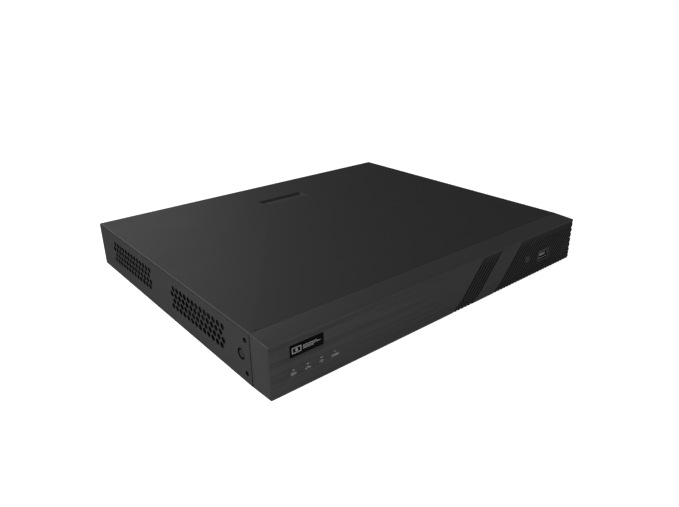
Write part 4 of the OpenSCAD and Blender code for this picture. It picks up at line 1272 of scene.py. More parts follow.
class RECORDER_OT_front_controls(bpy.types.Operator):
    """Light pipes, round button and front USB port"""

    bl_idname = "recorder.front_controls"
    bl_label = "Front controls"

    def lights(self):
        """Milky pipes behind the four slots, with a wider foot inside."""
        bm = bmesh.new()
        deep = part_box("light_pipes")[1].y
        for x, z in light_places():
            add_soft(bm, (x - MM, FRONT, z - 0.27 * MM), (x + MM, FRONT + 2.3 * MM, z + 0.27 * MM),
                     0.08 * MM)
            add_soft(bm, (x - 1.3 * MM, FRONT + 2.2 * MM, z - MM), (x + 1.3 * MM, deep, z + MM), 0.2 * MM)
        clear = finish("milky_light", (0.42, 0.43, 0.44), roughness=0.35, grain=0.4, bump=0.0, mottle=0.03,
                       glow=(0.95, 0.97, 1.0, 0.05))
        make_piece("status_lights", bm, "case", clear, ["light_pipes"])

    def button(self):
        """Turned cap with a shallow crown, and its skirt and stem behind the front."""
        place = middle("power_button")
        low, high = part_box("power_button")
        bm = bmesh.new()
        start = Vector((place.x, low.y, place.z))
        deep = high.y - low.y
        profile = [(0, 0), (0.0, 2.4 * MM), (0.06 * MM, 3.2 * MM), (0.2 * MM, 3.7 * MM),
                   (0.5 * MM, 3.97 * MM), (2.3 * MM, 3.97 * MM), (2.3 * MM, 4.9 * MM), (3.2 * MM, 4.9 * MM),
                   (3.3 * MM, 1.9 * MM), (deep - 0.3 * MM, 1.8 * MM), (deep, 1.5 * MM), (deep, 0)]
        add_lathe(bm, "y", start, profile, 48)
        cap = finish("button_face", (0.058, 0.058, 0.0585), roughness=0.45, grain=0.3, bump=0.008,
                     mottle=0.05, edge=0.4, edge_radius=0.3, specular=0.45)
        make_piece("round_button", bm, "button", cap, ["power_button"])

    def usb(self):
        """Folded sleeve with its spring slots, and the insert with four contacts."""
        low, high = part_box("front_usb_shell")
        steel = finish("usb_steel", (0.8, 0.8, 0.81), roughness=0.42, metallic=0.6, grain=0.5, bump=0.003,
                       mottle=0.06, edge=0.3, edge_radius=0.2)
        shell = soft_block(low, high, 0.5 * MM, 3)
        piece = make_piece("front_usb_sleeve", shell, "case", steel,
                           ["front_usb_shell"])
        wall = 0.35 * MM
        carve(piece, soft_block((low.x + wall, low.y - MM, low.z + 2.4 * wall),
                                (high.x - wall, high.y + MM, high.z - wall)))
        slots = bmesh.new()
        for x in (-3.2, 3.2):
            centre = (low.x + high.x) / 2 + x * MM
            for z in (low.z, high.z):
                add_block(slots, (centre - 0.9 * MM, low.y + 3 * MM, z - MM),
                          (centre + 0.9 * MM, low.y + 8 * MM, z + MM))
        carve(piece, slots)
        edit(piece, lambda bm: soften(bm, 0.06 * MM, 1, 50))
        smooth(piece)
        # Painted shade inside the sleeve; only its front rim keeps the bright steel.
        piece.data.materials.append(opening_shade())
        for face in piece.data.polygons:
            if face.center.y > low.y + 0.3 * MM:
                face.material_index = 1
        inner = finish("usb_white", (0.75, 0.75, 0.73), roughness=0.5, grain=0.3, bump=0.004, mottle=0.04)
        t_low, t_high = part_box("front_usb_tongue")
        centre = (t_low.x + t_high.x) / 2
        tongue_z = (low.z + high.z) / 2
        bm = soft_block((centre - 5.6 * MM, t_low.y, tongue_z - 0.7 * MM),
                        (centre + 5.6 * MM, t_high.y, tongue_z + 0.4 * MM), 0.25 * MM)
        add_soft(bm, (centre - 6.1 * MM, t_high.y - 2 * MM, t_low.z),
                 (centre + 6.1 * MM, t_high.y, t_high.z), 0.1 * MM)
        make_piece("front_usb_insert", bm, "case", inner, ["front_usb_tongue"])
        pins = bmesh.new()
        for i in (-1.5, -0.5, 0.5, 1.5):
            x = centre + i * 2.3 * MM
            add_soft(pins, (x - 0.5 * MM, t_low.y + 0.8 * MM, tongue_z - 0.82 * MM),
                     (x + 0.5 * MM, t_high.y - 2 * MM, tongue_z - 0.68 * MM), 0.04 * MM, 1)
        make_piece("front_usb_contacts", pins, "case", gold())

    def execute(self, context):
        self.lights()
        self.button()
        self.usb()
        return {"FINISHED"}


# ---- parts taken from the CAD ----

def solids(node):
    """Corners of the box of each separate solid in a CAD node, ordered by place."""
    bm = bmesh.new()
    bm.from_mesh(NODES[node].data)
    bmesh.ops.remove_doubles(bm, verts=bm.verts, dist=1e-6)
    left = set(bm.verts)
    boxes = []
    while left:
        island, queue = set(), [left.pop()]
        while queue:
            vert = queue.pop()
            island.add(vert)
            near = {e.other_vert(vert) for e in vert.link_edges} & left
            left -= near
            queue.extend(near)
        corners = [vert.co for vert in island]
        low = Vector([min(c[i] for c in corners) for i in range(3)])
        high = Vector([max(c[i] for c in corners) for i in range(3)])
        boxes.append((low, high))
    bm.free()
    return sorted(boxes, key=lambda pair: [round(c, 4) for c in (pair[0] + pair[1])])


def cad_copy(node):
    """Clean copy of a CAD node's mesh, with its flat faces whole again."""
    bm = bmesh.new()
    bm.from_mesh(NODES[node].data)
    bmesh.ops.remove_doubles(bm, verts=bm.verts, dist=1e-6)
    bmesh.ops.dissolve_limit(bm, angle_limit=math.radians(0.5), verts=bm.verts, edges=bm.edges,
                             delimit={"NORMAL"})
    return bm


def open_edges(bm):
    """Number of edges that don't join exactly two faces."""
    return sum(1 for edge in bm.edges if not edge.is_manifold)


def refine(node, name, body, material, width=0.2 * MM, segments=2, angle=35):
    """Piece that stands for a CAD node with its sharp edges broken."""
    bm = cad_copy(node)
    soften(bm, width, segments, angle)
    if open_edges(bm):
        bm.free()
        bm = cad_copy(node)
    return make_piece(name, bm, body, material, [node])


# ---- screws ----

class RECORDER_OT_screws(bpy.types.Operator):
    """Every screw, with a domed head and a cross recess"""

    bl_idname = "recorder.screws"
    bl_label = "Screws"

    # Node, body, axis, head radius, head height and shank radius in millimetres, and finish.
    rows = (
        ("cover_side_screws", "cover", "x", 3.4, 1.1, 1.5, "dark"),
        ("cover_rear_screws", "cover", "y", 2.8, 1.6, 1.5, "dark"),
        ("case_screws", "case", "mixed", 2.8, 1.4, 1.3, "plain"),
        ("front_board_screws", "case", "y", 1.9, 1.2, 0.9, "plain"),
        ("board_screws", "case", "z", 2.8, 1.6, 1.3, "plain"),
        ("drive_screws", "case", "-z", 2.8, 1.4, 1.4, "plain"),
        ("fan_screws", "case", "y", 2.8, 1.6, 1.45, "dark"),
        ("ground_screw", "case", "y", 3.6, 2.4, 1.95, "brass"),
    )

    def pattern(self, head, height, shank, length):
        """One screw along +Z with its seat at z = 0."""
        bm = bmesh.new()
        profile = [(-length, 0), (-length, 0.7 * shank), (0.4 * MM - length, shank), (0, shank), (0, head),
                   (0.4 * height, head), (0.75 * height, 0.9 * head), (0.93 * height, 0.7 * head),
                   (height, 0.4 * head), (height, 0)]
        add_lathe(bm, "z", (0, 0, 0), profile, 28)
        piece = make_piece("screw_pattern", bm, "case", dark_steel())
        cross = bmesh.new()
        for turn in (0, math.pi / 2):
            verts = add_block(cross, (-0.62 * head, -0.15 * head, 0.35 * height),
                              (0.62 * head, 0.15 * head, height * 2))
            for vert in verts:
                if vert.co.z < height:
                    vert.co.x *= 0.35
                    vert.co.y *= 0.7
            spun = Matrix.Rotation(turn, 3, "Z")
            bmesh.ops.rotate(cross, cent=(0, 0, 0), matrix=spun, verts=verts)
            if not turn:
                carve(piece, copy_of(cross))
                bmesh.ops.delete(cross, geom=cross.verts[:], context="VERTS")
        carve(piece, cross)
        return take_mesh(piece)

    def outward(self, axis, low, high):
        """Direction that a screw's head faces."""
        size = high - low
        if axis == "x":
            return Vector((math.copysign(1, (low + high).x), 0, 0))
        if axis == "-z" or (axis == "mixed" and size.z > size.y and low.z < FLOOR):
            return Vector((0, 0, -1))
        return Vector((0, 1, 0)) if axis in {"y", "mixed"} else Vector((0, 0, 1))

    def execute(self, context):
        finishes = {"dark": dark_steel(), "plain": plated_steel(), "brass": finish(
            "brass", (0.62, 0.47, 0.2), roughness=0.3, metallic=1.0, grain=0.4, bump=0.004, mottle=0.12,
            edge=0.4, edge_radius=0.2)}
        for node, body, axis, head, height, shank, look in self.rows:
            bm = bmesh.new()
            for index, (low, high) in enumerate(solids(node)):
                out = self.outward(axis, low, high)
                size = high - low
                length = max(size) - height * MM
                shape = self.pattern(head * MM, height * MM, shank * MM, length)
                tip = (low + high) / 2 + out * max(size) / 2
                turn = Vector((0, 0, 1)).rotation_difference(out).to_matrix().to_4x4()
                spin = Matrix.Rotation(math.radians(20 + 47 * index), 4, "Z")
                place = Matrix.Translation(tip - out * height * MM) @ turn @ spin
                join(bm, shape, place, free=True)
            make_piece(node + "_heads", bm, body, finishes[look], [node], 35)
        return {"FINISHED"}


# ---- rear ----

class RECORDER_OT_rear_sockets(bpy.types.Operator):
    """Camera, audio, monitor, network, USB, alarm and supply sockets"""

    bl_idname = "recorder.rear_sockets"
    bl_label = "Rear sockets"

    def camera_sockets(self):
        """Turned barrels with a flange, a groove and two locking lugs each."""
        bm = bmesh.new()
        for low, high in solids("bnc_shells"):
            x, z = (low.x + high.x) / 2, (low.z + high.z) / 2
            deep, seat = (high.y - low.y) / MM, (PANEL_HIGH.y - low.y) / MM
            marks = [(0, 0), (0, 4.6), (0.2, 4.8), (seat, 4.8), (seat, 5.8), (seat + 0.9, 5.8),
                     (seat + 1.1, 5.6), (seat + 1.1, 4.8), (deep - 6.4, 4.8), (deep - 6.2, 4.5),
                     (deep - 5.9, 4.5), (deep - 5.7, 4.8), (deep - 0.4, 4.8), (deep, 4.5),
                     (deep, 4.3), (deep - 0.3, 4.1), (1, 4.1), (1, 0)]
            add_lathe(bm, "y", (x, low.y, z), in_mm(marks), 28)
            for side in SIDES:
                start = x + (side * 4.3 * MM if side > 0 else -5.5 * MM)
                lug = add_rod(bm, "x", (start, high.y - 4.5 * MM, z), 1.2 * MM, 0.95 * MM, segments=14)
                soften(bm, 0.2 * MM, 1, 50, lug)
        make_piece("camera_barrels", bm, "case", nickel(), ["bnc_shells"])
        refine("bnc_housing", "camera_socket_block", "case", black_plastic(), 0.3 * MM)

    def audio(self):
        """Two jacks, each with a coloured ring."""
        bodies = bmesh.new()
        colours = (("audio_ring_red", (0.45, 0.02, 0.015)), ("audio_ring_white", (0.75, 0.75, 0.73)))
        for (low, high), (name, colour) in zip(solids("audio_jacks"), colours):
            x, z = (low.x + high.x) / 2, (low.z + high.z) / 2
            add_soft(bodies, (x - 5 * MM, low.y, z - 5 * MM),
                     (x + 5 * MM, PANEL_LOW.y - 0.1 * MM, z + 5 * MM))
            start = PANEL_LOW.y - 0.2 * MM
            reach = (high.y - start) / MM
            marks = [(0, 2.9), (0, 4.1), (1.3, 4.1), (reach - 0.3, 4.1), (reach, 3.85), (reach, 3.6),
                     (reach - 0.3, 3.4), (0.3, 3.4)]
            add_lathe(bodies, "y", (x, start, z), in_mm(marks), 32)
            ring = bmesh.new()
            marks = [(0, 1.7), (0, 3.38), (reach - 1.2, 3.38), (reach - 0.8, 3.1), (reach - 0.8, 2.0),
                     (reach - 1.0, 1.7)]
            add_lathe(ring, "y", (x, start, z), in_mm(marks), 32)
            make_piece(name, ring, "case",
                       finish(name, colour, roughness=0.4, grain=0.3, bump=0.003, mottle=0.05))
        make_piece("audio_barrels", bodies, "case", nickel(), ["audio_jacks"])

    def monitor(self):
        """Blue three-row monitor socket with its D-shaped sleeve and two hexagonal nuts."""
        low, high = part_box("vga_port")
        x, z = (low.x + high.x) / 2, low.z + 6.3 * MM
        body = soft_block((low.x, low.y, low.z), (high.x, PANEL_LOW.y - 0.1 * MM, high.z), 0.25 * MM)
        for side in SIDES:
            nut = add_rod(body, "y", (x + side * 12.5 * MM, PANEL_LOW.y - 0.2 * MM, z), 5.2 * MM, 2.6 * MM,
                          segments=6)
            soften(body, 0.3 * MM, 1, 40, nut)
        make_piece("monitor_body", body, "case", nickel(), ["vga_port"])
        blue = finish("monitor_blue", (0.02, 0.07, 0.35), roughness=0.42, grain=0.3, bump=0.004,
                      mottle=0.05)
        self.d_shape("monitor_sleeve", x, z, high.y, 0, nickel(), hollow=0.45 * MM)
        self.d_shape("monitor_insert", x, z, high.y - 0.6 * MM, 0.5 * MM, blue, pins=True)

    def d_form(self, x, z, start, end, shrink):
        """D-shaped block with rounded corners, narrower at its foot."""
        bm = bmesh.new()
        half_w, half_h = 8.3 * MM - shrink, 4.2 * MM - shrink
        verts = add_block(bm, (x - half_w, start, z - half_h), (x + half_w, end, z + half_h))
        for vert in verts:
            if vert.co.z < z:
                vert.co.x += (x - vert.co.x) * 0.12
        bevel(bm, deep_edges(bm), 1.9 * MM - shrink, 5)
        return bm

    def d_shape(self, name, x, z, end, shrink, material, hollow=0.0, pins=False):
        """Piece of the monitor socket: its hollow sleeve, or its insert with fifteen pin holes."""
        start = PANEL_LOW.y - 0.2 * MM
        piece = make_piece(name, self.d_form(x, z, start, end, shrink), "case", material)
        if hollow:
            carve(piece, self.d_form(x, z, start + 0.4 * MM, end + MM, hollow))
        if pins:
            holes = bmesh.new()
            for row in (-1, 0, 1):
                for column in range(-2, 3):
                    at = (x + (column * 2.3 + row * 0.6) * MM, end - 2 * MM, z + row * 2.1 * MM)
                    add_rod(holes, "y", at, 4 * MM, 0.55 * MM, segments=12)
            carve(piece, holes)
        smooth(piece)

    def network(self):
        """Shielded network socket with a latch notch, eight contacts and two lights."""
        low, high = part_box("lan_port")
        x, z = (low.x + high.x) / 2, low.z
        shell = soft_block(low, high, 0.25 * MM)
        piece = make_piece("network_shell", shell, "case", nickel(), ["lan_port"])
        for half, foot, top in ((5.9, 2, 9), (3, 8.5, 11)):
            cut = bmesh.new()
            add_block(cut, (x - half * MM, high.y - 14 * MM, z + foot * MM),
                      (x + half * MM, high.y + MM, z + top * MM))
            carve(piece, cut)
        edit(piece, lambda bm: soften(bm, 0.12 * MM, 1, 60))
        smooth(piece)
        contacts = bmesh.new()
        for index in range(8):
            at = x + (index - 3.5) * 1.02 * MM
            add_soft(contacts, (at - 0.2 * MM, high.y - 12 * MM, z + 2.4 * MM),
                     (at + 0.2 * MM, high.y - 5 * MM, z + 3 * MM), 0.08 * MM, 1)
        make_piece("network_contacts", contacts, "case", gold())
        lights = ((-1, "link_light", (0.05, 0.4, 0.08)), (1, "traffic_light", (0.6, 0.3, 0.02)))
        for side, name, colour in lights:
            at = x + side * 5.6 * MM
            lens = soft_block((at - 1.5 * MM, high.y - 2 * MM, z + 10.6 * MM),
                              (at + 1.5 * MM, high.y + 0.1 * MM, z + 12.6 * MM), 0.2 * MM)
            make_piece(name, lens, "case",
                       finish(name, colour, roughness=0.25, grain=0.3, bump=0.0, mottle=0.05))

    def usb_stack(self):
        """Two USB ports one above the other, each with its tongue and contacts."""
        low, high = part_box("rear_usb_ports")
        x = (low.x + high.x) / 2
        piece = make_piece("usb_stack_shell", soft_block(low, high), "case", nickel(),
                           ["rear_usb_ports"])
        cuts, tongues, pins = bmesh.new(), bmesh.new(), bmesh.new()
        for rise in (1.0, 8.9):
            bottom = low.z + rise * MM
            add_soft(cuts, (x - 6.2 * MM, low.y + 2 * MM, bottom),
                     (x + 6.2 * MM, high.y + MM, bottom + 5.6 * MM))
            add_soft(tongues, (x - 5.6 * MM, low.y + 1.9 * MM, bottom + 3.3 * MM),
                     (x + 5.6 * MM, high.y - 0.8 * MM, bottom + 5.1 * MM), 0.2 * MM)
            for index in range(4):
                at = x + (index - 1.5) * 2.3 * MM
                add_soft(pins, (at - 0.5 * MM, low.y + 3 * MM, bottom + 3.2 * MM),
                         (at + 0.5 * MM, high.y - 1.6 * MM, bottom + 3.34 * MM), 0.04 * MM, 1)
        carve(piece, cuts)
        smooth(piece)
        make_piece("usb_stack_tongues", tongues, "case", black_plastic())
        make_piece("usb_stack_contacts", pins, "case", gold())

    def digital_monitor(self):
        """Flat digital monitor socket with chamfered lower corners and its tongue."""
        low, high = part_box("hdmi_port")
        x, z = (low.x + high.x) / 2, (low.z + high.z) / 2
        piece = make_piece("digital_shell", soft_block(low, high), "case", nickel(),
                           ["hdmi_port"])
        core = bmesh.new()
        add_block(core, (x - 7 * MM, low.y + MM, low.z + 0.55 * MM),
                  (x + 7 * MM, high.y + MM, high.z - 0.5 * MM))
        foot = [e for e in deep_edges(core) if all(v.co.z < z for v in e.verts)]
        bevel(core, foot, 1.4 * MM, 2)
        carve(piece, core)
        smooth(piece)
        tongue = soft_block((x - 5.5 * MM, low.y + 0.6 * MM, z - 0.4 * MM),
                            (x + 5.5 * MM, high.y - 0.8 * MM, z + 0.9 * MM), 0.2 * MM)
        make_piece("digital_tongue", tongue, "case", black_plastic())

    def alarm(self):
        """Green terminal block with six slotted screws."""
        green = finish("terminal_green", (0.03, 0.2, 0.06), roughness=0.45, grain=0.3, bump=0.005,
                       mottle=0.08, edge=0.4, edge_radius=0.25)
        refine("alarm_terminals", "alarm_block", "case", green, 0.25 * MM, 1)
        low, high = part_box("alarm_terminals")
        heads, slots = bmesh.new(), bmesh.new()
        for index in range(6):
            x = (low.x + high.x) / 2 + (index - 2.5) * 3.5 * MM
            add_lathe(heads, "y", (x, high.y - 1.8 * MM, low.z + 9 * MM),
                      in_mm([(0, 0), (0, 1.15), (0.5, 1.15), (0.7, 0.9), (0.7, 0)]), 16)
            add_block(slots, (x - 1.3 * MM, high.y - 1.4 * MM, low.z + 8.8 * MM),
                      (x + 1.3 * MM, high.y, low.z + 9.2 * MM))
        piece = make_piece("alarm_screws", heads, "case", nickel())
        carve(piece, slots)

    def supply(self):
        """Supply jack with its bore and centre pin."""
        low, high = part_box("power_jack")
        x, z = (low.x + high.x) / 2, low.z + 5.6 * MM
        piece = make_piece("jack_body", soft_block(low, high, 0.35 * MM), "case",
                           black_plastic(), ["power_jack"])
        bore = bmesh.new()
        add_lathe(bore, "y", (x, high.y - 10 * MM, z),
                  in_mm([(0, 0), (0, 3.2), (9.4, 3.2), (10.2, 3.9), (11, 3.9), (11, 0)]), 32)
        carve(piece, bore)
        smooth(piece)
        pin = bmesh.new()
        add_lathe(pin, "y", (x, high.y - 10.4 * MM, z),
                  in_mm([(0, 0), (0, 1.0), (8.4, 1.0), (9, 0.7), (9.2, 0)]), 20)
        make_piece("jack_pin", pin, "case", nickel())

    def rocker_switch(self):
        """Switch frame and the key that tilts in it."""
        refine("switch_housing", "switch_frame", "case", black_plastic(), 0.35 * MM)
        key = finish("rocker_black", (0.012, 0.012, 0.013), roughness=0.35, grain=0.3, bump=0.004,
                     mottle=0.08, specular=0.4)
        refine("switch_rocker", "rocker_key", "rocker", key, 0.3 * MM, 3)

    def execute(self, context):
        self.camera_sockets()
        self.audio()
        self.monitor()
        self.digital_monitor()
        self.network()
        self.usb_stack()
        self.alarm()
        self.supply()
        self.rocker_switch()
        return {"FINISHED"}


class RECORDER_OT_fan(bpy.types.Operator):
    """Fan frame with struts and a rotor with seven cambered blades"""

    bl_idname = "recorder.fan"
    bl_label = "Fan"

    blades = 7
    hub = 10.6 * MM
    tip = 18.2 * MM

    def rotor(self):
        """Hub cup open at the front, its axle, and the blades."""
        low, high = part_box("fan_frame")
        centre = Vector(((low.x + high.x) / 2, high.y, (low.z + high.z) / 2))
        into = Matrix.Translation(centre) @ Matrix.Rotation(math.pi / 2, 4, "X")
        bm = bmesh.new()
        cup = [(9.4, 0), (9.4, 9.6), (9.3, 10.2), (8.9, 10.6), (1.9, 10.6), (1.9, 9.4), (8.0, 9.4),
               (8.0, 0)]
        add_lathe(bm, "z", (0, 0, 0), in_mm(cup), 48)
        add_lathe(bm, "z", (0, 0, 0), in_mm([(0.9, 0), (0.9, 1), (8.1, 1), (8.1, 0)]), 20)
        root = self.hub - 0.3 * MM
        for index in range(self.blades):
            blade = bmesh.new()
            bmesh.ops.create_grid(blade, x_segments=6, y_segments=8, size=0.5)
            for vert in blade.verts:
                out, chord = vert.co.x + 0.5, vert.co.y
                radius = root + (self.tip - self.hub + 0.3 * MM) * out
                turn = chord * math.radians(44) + math.radians(8) * out
                height = 5.6 * MM - chord * 6.0 * MM + 0.9 * MM * (0.25 - chord * chord) * 4 * 0.5
                vert.co = (radius * math.cos(turn), radius * math.sin(turn), height)
            bmesh.ops.recalc_face_normals(blade, faces=blade.faces)
            bmesh.ops.solidify(blade, geom=blade.faces[:], thickness=0.9 * MM)
            join(bm, blade, Matrix.Rotation(2 * math.pi * index / self.blades, 4, "Z"), free=True)
        bmesh.ops.transform(bm, matrix=into, verts=bm.verts)
        make_piece("fan_wheel", bm, "rotor", black_plastic(), ["fan_rotor"])

    def execute(self, context):
        refine("fan_frame", "fan_housing", "case", black_plastic(), 0.35 * MM)
        self.rotor()
        return {"FINISHED"}


class RECORDER_OT_feet(bpy.types.Operator):
    """Rubber feet with a grip ring and a screw well"""

    bl_idname = "recorder.feet"
    bl_label = "Feet"

    def execute(self, context):
        rubber = finish("foot_rubber", (0.012, 0.012, 0.012), roughness=0.8, grain=0.6, bump=0.03,
                        mottle=0.15, dust=0.1, specular=0.2)
        bm = bmesh.new()
        for low, high in solids("rubber_feet"):
            tall = (high.z - low.z) / MM
            marks = [(0, 3.4), (0, 7.6), (0.25, 8.3), (0.9, 8.95), (2.3, 9.2), (2.55, 8.95), (2.8, 9.25),
                     (tall - 0.6, 9.9), (tall, 9.9), (tall, 1.7), (3, 1.7), (3, 3.1)]
            at = ((low.x + high.x) / 2, (low.y + high.y) / 2, low.z)
            add_lathe(bm, "z", at, in_mm(marks), 40)
        make_piece("rubber_foot_set", bm, "case", rubber, ["rubber_feet"])
        return {"FINISHED"}


# ---- inside ----

class RECORDER_OT_drives(bpy.types.Operator):
    """Two hard drives: cast base, pressed lid with its screws and a blank label"""

    bl_idname = "recorder.drives"
    bl_label = "Hard drives"

    def execute(self, context):
        cast = finish("drive_casting", (0.1, 0.1, 0.105), roughness=0.5, metallic=0.6, grain=0.7,
                      bump=0.02, mottle=0.12, edge=0.4, edge_radius=0.3)
        lid = finish("drive_lid", (0.6, 0.61, 0.62), roughness=0.34, metallic=1.0, grain=0.3, bump=0.004,
                     mottle=0.05, streaks=(18, 0.25, 0.08), streak_bump=0.004, edge=0.4, edge_radius=0.25)
        paper = finish("label_paper", (0.72, 0.72, 0.7), roughness=0.7, grain=0.2, bump=0.004, mottle=0.03)
        ink = finish("label_ink", (0.05, 0.05, 0.055), roughness=0.6, grain=0.2, bump=0.0, mottle=0.1)
        head = [(0, 0), (0, 2.3), (0.35, 2.3), (0.45, 2.1), (0.45, 0.9), (0.2, 0.8), (0.2, 0)]
        for number in (1, 2):
            base = f"drive_{number}"
            refine(base + "_casting", base + "_base", "case", cast, 0.6 * MM)
            refine(base + "_lid", base + "_cover", "case", lid, 0.25 * MM)
            low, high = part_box(base + "_lid")
            x = (low.x + high.x) / 2
            top = high.z - 0.4 * MM
            bm = bmesh.new()
            for side in SIDES:
                for y in (low.y + 4 * MM, (low.y + high.y) / 2, high.y - 4 * MM):
                    add_lathe(bm, "z", (x + side * 44.5 * MM, y, top - 0.1 * MM), in_mm(head), 20)
            make_piece(base + "_lid_screws", bm, "case", dark_steel())
            sheet = soft_block((x - 36 * MM, high.y - 42 * MM, top - 0.05 * MM),
                               (x + 36 * MM, high.y - 6 * MM, top + 0.12 * MM), 0.05 * MM, 1)
            make_piece(base + "_label", sheet, "case", paper)
            bars = bmesh.new()
            for index, width in enumerate((50, 34, 58, 22)):
                y = high.y - (14 + 7 * index) * MM
                add_block(bars, (x - 31 * MM, y, top + 0.1 * MM),
                          (x + (width - 31) * MM, y + 1.6 * MM, top + 0.15 * MM))
            make_piece(base + "_label_bars", bars, "case", ink)
        return {"FINISHED"}


class RECORDER_OT_boards(bpy.types.Operator):
    """Circuit boards with their small parts, chips, heat sink, capacitors and coin cell"""

    bl_idname = "recorder.boards"
    bl_label = "Circuit boards"

    # Kind, number, half width and height in millimetres of the small parts.
    parts = (("chip", 14, 4.5, 1.5), ("coil", 7, 3.6, 3.2), ("bit", 150, 1.1, 0.6))
    most_tries = 4000

    def blocked(self, x, y, margin, boxes):
        """Whether a place on the board lies within margin of any of the boxes."""
        return any(low.x - margin < x < high.x + margin and low.y - margin < y < high.y + margin
                   for low, high in boxes)

    def small_parts(self):
        """Chips, resistors and coils spread over the free places of the main board."""
        draw = random.Random(11)
        taken = [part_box(node) for node in (
            "heat_sink", "cell_holder", "alarm_terminals", "power_jack", "bnc_housing", "vga_port",
            "hdmi_port", "lan_port", "rear_usb_ports")]
        for node in ("memory_chips", "capacitors", "drive_sockets", "board_screws", "audio_jacks"):
            taken += solids(node)
        board_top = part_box("video_chip")[0].z
        chips, chip_legs, bits, coils = bmesh.new(), bmesh.new(), bmesh.new(), bmesh.new()
        placed = []
        for kind, count, size, rise in self.parts:
            tries = 0
            done = 0
            while done < count and tries < self.most_tries:
                tries += 1
                x = draw.uniform(BOARD_LOW.x + 8 * MM, BOARD_HIGH.x - 6 * MM)
                y = draw.uniform(BOARD_LOW.y + 10 * MM, BOARD_HIGH.y - 20 * MM)
                half = size * MM
                if self.blocked(x, y, half + 1.2 * MM, taken + placed):
                    continue
                wide, deep = (half, half * 0.8) if kind != "bit" else (half * 0.8, half * 0.45)
                if draw.random() < 0.5:
                    wide, deep = deep, wide
                low = Vector((x - wide, y - deep, board_top))
                high = Vector((x + wide, y + deep, board_top + rise * MM))
                placed.append((low, high))
                done += 1
                if kind == "chip":
                    add_soft(chips, low + Vector((0, 0, 0.15 * MM)), high, 0.15 * MM, 1)
                    for index in range(6):
                        at = low.x + (index + 0.5) * (high.x - low.x) / 6
                        for side in SIDES:
                            end = y + side * (deep + 0.8 * MM)
                            start = y + side * (deep - 0.1 * MM)
                            add_block(chip_legs, (at - 0.2 * MM, min(start, end), board_top),
                                      (at + 0.2 * MM, max(start, end), board_top + 0.5 * MM))
                elif kind == "coil":
                    add_soft(coils, low, high, 0.7 * MM, 3)
                else:
                    add_block(bits, low, high)
        make_piece("board_chips", chips, "case", chip_black())
        make_piece("board_chip_legs", chip_legs, "case", plated_steel())
        grey = finish("coil_grey", (0.07, 0.07, 0.075), roughness=0.6, grain=0.4, bump=0.02, mottle=0.15)
        make_piece("board_coils", coils, "case", grey)
        tan = finish("ceramic_tan", (0.32, 0.22, 0.12), roughness=0.45, grain=3.0, bump=0.0, mottle=0.5)
        make_piece("board_small_parts", bits, "case", tan)

    def capacitor_set(self):
        """Sleeved cans with a pinched foot, and their bare tops."""
        bm, caps = bmesh.new(), bmesh.new()
        for low, high in solids("capacitors"):
            x, y = (low.x + high.x) / 2, (low.y + high.y) / 2
            radius, tall = (high.x - low.x) / 2, high.z - low.z
            marks = [(0, 0), (0, radius), (0.1 * tall, radius), (0.13 * tall, 0.93 * radius),
                     (0.17 * tall, radius), (0.95 * tall, radius), (tall, 0.9 * radius),
                     (tall, 0.8 * radius), (0.98 * tall, 0.78 * radius), (0.98 * tall, 0)]
            add_lathe(bm, "z", (x, y, low.z), marks, 28)
            add_lathe(caps, "z", (x, y, low.z + 0.975 * tall),
                      [(0, 0), (0, 0.74 * radius), (0.012 * tall, 0.74 * radius), (0.012 * tall, 0)], 24)
        sleeve = finish("capacitor_sleeve", (0.012, 0.03, 0.09), roughness=0.35, grain=0.5, bump=0.003,
                        mottle=0.08)
        make_piece("capacitor_cans", bm, "case", sleeve, ["capacitors"])
        make_piece("capacitor_tops", caps, "case", nickel())

    def execute(self, context):
        self.small_parts()
        self.capacitor_set()
        refine("video_chip", "processor", "case", chip_black(), 0.25 * MM)
        refine("memory_chips", "memory_set", "case", chip_black(), 0.15 * MM)
        refine("heat_sink", "cooling_fins", "case", anodised(), 0.2 * MM, 1)
        refine("coin_cell", "clock_cell", "case", nickel(), 0.35 * MM)
        refine("cell_holder", "clock_cell_holder", "case", black_plastic(), 0.3 * MM)
        refine("drive_sockets", "lead_sockets", "case", black_plastic(), 0.3 * MM)
        return {"FINISHED"}


class RECORDER_OT_case_metal(bpy.types.Operator):
    """Tray and rear panel with their cut edges broken"""

    bl_idname = "recorder.case_metal"
    bl_label = "Tray and rear panel"

    def execute(self, context):
        refine("chassis_tray", "tray_sheet", "case", powder_coat(), 0.12 * MM, 1)
        refine("rear_panel", "rear_sheet", "case", powder_coat(), 0.12 * MM, 1)
        return {"FINISHED"}


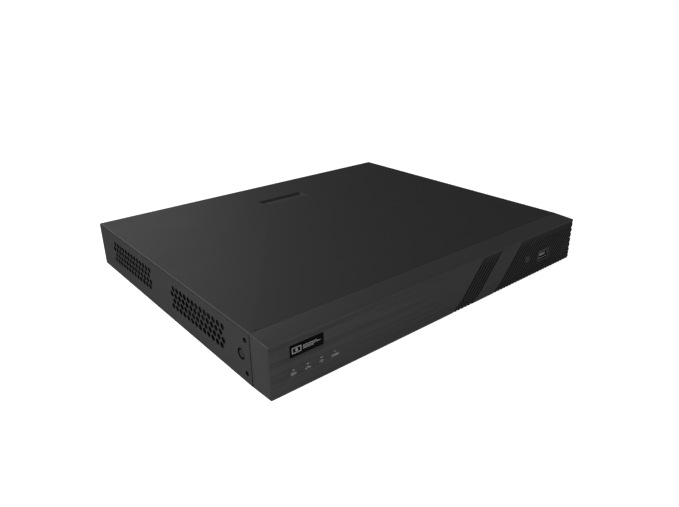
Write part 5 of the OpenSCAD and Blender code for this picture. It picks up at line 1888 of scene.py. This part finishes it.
class RECORDER_OT_cad_finishes(bpy.types.Operator):
    """Finishes of the CAD parts that keep their shape"""

    bl_idname = "recorder.cad_finishes"
    bl_label = "Finishes of the other parts"

    def execute(self, context):
        cable = {"roughness": 0.42, "grain": 0.3, "bump": 0.004, "mottle": 0.08}
        looks = {
            ("main_board", "led_board", "usb_board", "drive_1_board", "drive_2_board"): board_green(),
            ("cover_nuts", "board_standoffs"): finish(
                "yellow_zinc", (0.5, 0.42, 0.22), roughness=0.35, metallic=1.0, grain=0.5, bump=0.004,
                mottle=0.15),
            ("status_leds",): finish(
                "led_lens", (0.75, 0.73, 0.6), roughness=0.3, grain=0.3, bump=0.0, mottle=0.05),
            ("remote_receiver", "button_switch"): black_plastic(),
            ("switch_plunger", "bnc_insulators"): finish(
                "white_nylon", (0.72, 0.72, 0.7), roughness=0.45, grain=0.3, bump=0.003, mottle=0.04),
            ("bnc_pins",): gold(),
            ("led_cable",): finish(
                "ribbon_grey", (0.5, 0.5, 0.48), roughness=0.55, grain=0.4, bump=0.02, mottle=0.06),
            ("usb_cable", "fan_lead"): finish(
                "lead_black", (0.016, 0.016, 0.017), roughness=0.5, grain=0.4, bump=0.01, mottle=0.1),
            ("drive_data_cables",): finish("lead_red", (0.4, 0.03, 0.02), **cable),
            ("drive_power_cable",): finish("lead_yellow", (0.55, 0.36, 0.02), **cable),
        }
        for nodes, material in looks.items():
            for node in nodes:
                for place in NODES[node].material_slots:
                    place.material = material
        return {"FINISHED"}


OPERATORS = [
    RECORDER_OT_stage, RECORDER_OT_cover, RECORDER_OT_bezel, RECORDER_OT_window, RECORDER_OT_front_controls,
    RECORDER_OT_screws, RECORDER_OT_case_metal, RECORDER_OT_rear_sockets, RECORDER_OT_fan, RECORDER_OT_feet,
    RECORDER_OT_drives, RECORDER_OT_boards, RECORDER_OT_cad_finishes,
]
SETTINGS = {"recorder_case": CaseSettings, "recorder_bezel": BezelSettings, "recorder_stage": StageSettings}


class RECORDER_PT_panel(bpy.types.Panel):
    """Lists the steps that build the recorder"""

    bl_idname = "RECORDER_PT_panel"
    bl_label = "Recorder"
    bl_space_type = "VIEW_3D"
    bl_region_type = "UI"
    bl_category = "Recorder"

    def draw(self, context):
        for group in SETTINGS:
            box = self.layout.box()
            for name in getattr(context.scene, group).bl_rna.properties.keys():
                if name not in {"rna_type", "name"}:
                    box.prop(getattr(context.scene, group), name)
        for operator in OPERATORS:
            self.layout.operator(operator.bl_idname)


def register():
    """Adds the settings, the steps and the panel."""
    for cls in (*SETTINGS.values(), *OPERATORS, RECORDER_PT_panel):
        bpy.utils.register_class(cls)
    for name, cls in SETTINGS.items():
        setattr(bpy.types.Scene, name, PointerProperty(type=cls))


def unregister():
    """Takes them away again."""
    for name in SETTINGS:
        delattr(bpy.types.Scene, name)
    for cls in (RECORDER_PT_panel, *reversed(OPERATORS), *SETTINGS.values()):
        bpy.utils.unregister_class(cls)


def main():
    """Builds the recorder step by step."""
    register()
    for operator in OPERATORS:
        family, step = operator.bl_idname.split(".")
        getattr(getattr(bpy.ops, family), step)()


if __name__ == "__main__":
    main()
